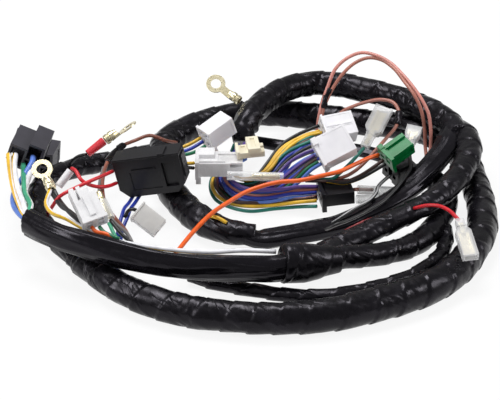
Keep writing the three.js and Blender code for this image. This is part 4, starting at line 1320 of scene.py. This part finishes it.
relay_socket("relay_socket", 20, 20, (-0.129, 0.0456, 0.0274), (0.17, 0.98, 0.1), (0.34, -0.16, 0.93))
relay_socket("relay_socket_rear", 16, 18, (-0.124, 0.0666, 0.0105), (0.17, 0.99, 0.01), (0.1, -0.02, 1))

# Flasher box
# A closed black case with cut corners. It is moulded in two halves with a raised ledge across its face, and
# a clip at the upper right keeps the halves together.
flasher_shapes = [
    plate([(5, -12), (34, -12), (39, -7), (39, 12), (0, 12), (0, -7)], -6.5, 6.5),
    brick(10, 24, 3.6, 4.8, 6.2, 7.4),
    brick(-0.3, 39.3, 10.4, 11.2, -6.8, 6.8),
    brick(27, 30.5, 11.5, 12.9, -3.5, 6.9),
    brick(38.5, 39.8, -4, 9, -4, 4),
]
flasher_hollows = [
    brick(8.5, 25.5, -8, 3.2, 5.9, 8),
    brick(28, 35.5, -8, 7, 4.5, 8),
    brick(16, 22, -13, -11, -3, 3),
]
flasher = moulded("flasher_case", flasher_shapes, flasher_hollows, edge=0.45)
fitted(
    flasher, black_plastic, "flasher_box",
    (-0.0742, 0.0336, 0.0223), (0.95, -0.16, 0.22), (-0.17, -0.97, 0.01),
)


# Ring terminals
# Stamped from sheet brass: a flat ring for a bolt, a tongue, and a barrel rolled round the bare wire and
# pressed flat by the crimping tool, with two small wings that hold the insulation.
def ring_terminal(name, reach, at, forward, up):
    outer = 5.9
    hole = 3.2
    neck = 2.4
    barrel = 2.7
    sheet = 0.8
    low = -barrel + 0.2
    meet = math.asin(neck / outer)
    outline = [(6, -neck)]
    steps = 36
    for i in range(steps + 1):
        angle = math.pi + meet + (2 * math.pi - 2 * meet) * i / steps
        outline.append((reach + outer * math.cos(angle), outer * math.sin(angle)))
    outline.append((6, neck))
    eye = [(reach + out, rise) for out, rise in circle(hole, 32)]
    shapes = [
        plate(outline, low, low + sheet),
        spun([(0, 2.75), (0.4, 3.0), (2.2, 3.0), (2.6, 2.5), (3.0, 2.5), (3.4, 2.95), (5.4, 2.85), (6.2, 2.4),
              (8.0, 1.9)]),
        brick(5.5, 9, -neck, neck, low, low + 1.5),
    ]
    hollows = [
        plate(eye, low - 1, low + sheet + 1),
        rod(barrel - sheet, -1, 6, sides=turned_sides),
        brick(0.3, 7, -0.12, 0.12, 1.5, 4),
    ]
    piece = moulded(name + "_stamping", shapes, hollows, edge=0.12)
    fitted(piece, contact_brass, name, at, forward, up)


ring_terminal("ring_terminal_left", 15, (-0.1105, 0.012, 0.025), (-0.41, 0.76, 0.51), (0, -0.56, 0.83))
ring_terminal("ring_terminal_top", 19, (-0.0065, 0.1218, 0.0245), (-0.76, 0.48, 0.43), (0, -0.67, 0.74))
ring_terminal("ring_terminal_red", 15, (-0.0835, 0.0575, 0.0315), (0.76, 0.48, 0.43), (-0.46, 0.25, 0.85))


# Round sleeves and bullets
# Short lengths of soft tube pushed over the terminals: clear ones over the brass bullets, a red one on the
# ring at the left, and the cut end of a white tube over a red wire.
def turned(name, profile):
    """A round piece along X from the closed outline of its wall, as (distance, radius) points"""
    piece = solid_object(name, *spin(profile, closed=True), weld=True)
    piece.data.shade_smooth()
    piece.data.set_sharp_from_angle(angle=math.radians(40))
    return piece


def sleeve(name, outer, bore, length, material, at, forward, up, flare=0.0):
    lip = 0.15
    profile = [
        (0, bore), (0, outer - lip), (lip, outer), (length - lip, outer + flare),
        (length, outer + flare - lip), (length, bore + flare),
    ]
    fitted(turned(name + "_tube", profile), material, name, at, forward, up)


def bullet(name, length, at, forward, up):
    profile = [
        (0, 0.0001), (0, 1.5), (1.0, 1.9), (length - 6.2, 1.9), (length - 5.8, 1.35), (length - 5.0, 1.35),
        (length - 4.6, 1.9), (length - 1.4, 1.9), (length, 1.1), (length, 0.0001),
    ]
    fitted(turned(name + "_pin", profile), contact_brass, name, at, forward, up)


red_vinyl = moulding("red_vinyl", (0.62, 0.035, 0.05), (0.70, 0.10, 0.11), 0.12, 0.3, subsurface=0.2)
straight_up = (0.03, 0, 1)
sleeve("bullet_sleeve_centre", 2.6, 2.2, 32, clear_vinyl,
       (0.019, 0.031, 0.022), (-1, 0.01, 0.03), straight_up)
bullet("bullet_centre", 16, (0.017, 0.031, 0.022), (-1, 0.01, 0.03), straight_up)
sleeve("bullet_sleeve_left", 2.6, 2.2, 12, clear_vinyl,
       (-0.0755, -0.017, 0.023), (-0.41, 0.76, 0.5), (0.08, -0.52, 0.85))
bullet("bullet_left", 17, (-0.076, -0.016, 0.0235), (-0.41, 0.76, 0.5), (0.08, -0.52, 0.85))
sleeve("bullet_sleeve_right", 2.6, 2.2, 22, clear_vinyl,
       (0.062, 0.039, 0.0094), (0.97, 0.2, -0.16), (0.16, 0, 0.98))
sleeve("bullet_sleeve_low", 2.6, 2.2, 16, clear_vinyl,
       (0.061, 0.0331, 0.0064), (0.97, 0.22, -0.1), (0.1, 0, 0.98))
sleeve("red_sleeve", 2.2, 1.6, 12, red_vinyl,
       (-0.0935, 0.0513, 0.0262), (0.76, 0.48, 0.43), (-0.07, -0.6, 0.8), flare=0.4)
sleeve("tube_end", 2.3, 1.5, 11, white_nylon,
       (-0.107, 0.017, 0.024), (0.6, 0.48, 0.64), (-0.09, -0.75, 0.65))


# Blade sleeves
# Flat covers of clear vinyl over push-on blade terminals. The cover narrows to a neck round the wire, and
# the brass of the terminal shows through it.
def blade_sleeve(name, neck, neck_length, mouth, length, at, forward, up):
    thick = 2.3
    shoulder = neck_length + 3
    n = neck / 2
    m = mouth / 2
    outline = [
        (0, -n), (neck_length, -n), (shoulder, -m), (length, -m),
        (length, m), (shoulder, m), (neck_length, n), (0, n),
    ]
    wall = 0.9
    hollow = 1.3
    cover = moulded(
        name + "_cover",
        [
            plate(outline, -thick, thick),
            brick(neck_length - 1, neck_length, -n - 0.3, n + 0.3, -2.5, 2.5),
        ],
        [
            brick(shoulder - 1, length + 1, -m + wall, m - wall, -hollow, hollow),
            brick(-1, shoulder, -1.5, 1.5, -hollow, hollow),
        ],
        edge=0.5,
    )
    fitted(cover, frosted_vinyl, name, at, forward, up)
    reach = min(3.0, m - 1.1)
    tip = length - 3
    terminal = moulded(
        name + "_terminal",
        [
            brick(shoulder, tip, -reach, reach, -0.9, -0.3), brick(2, shoulder + 1, -1.2, 1.2, -1.1, 1.1),
            brick(shoulder, tip, -reach, -reach + 1.1, -0.9, 1.0),
            brick(shoulder, tip, reach - 1.1, reach, -0.9, 1.0),
        ],
        edge=0.15,
    )
    fitted(terminal, contact_brass, None, at, forward, up)


blade_sleeve("blade_sleeve_back", 5, 9, 10.5, 27,
             (0.0665, 0.0606, 0.0255), (0.45, 0.65, 0.61), (-0.13, -0.63, 0.76))
blade_sleeve("blade_sleeve_green", 6, 4, 9, 13,
             (0.0925, 0.062, 0.026), (0.3, 0.84, 0.45), (-0.05, -0.45, 0.89))
blade_sleeve("blade_sleeve_front", 4.6, 6, 8.6, 27,
             (0.1122, -0.0266, 0.0274), (0.14, -0.93, -0.26), (0, -0.27, 0.96))
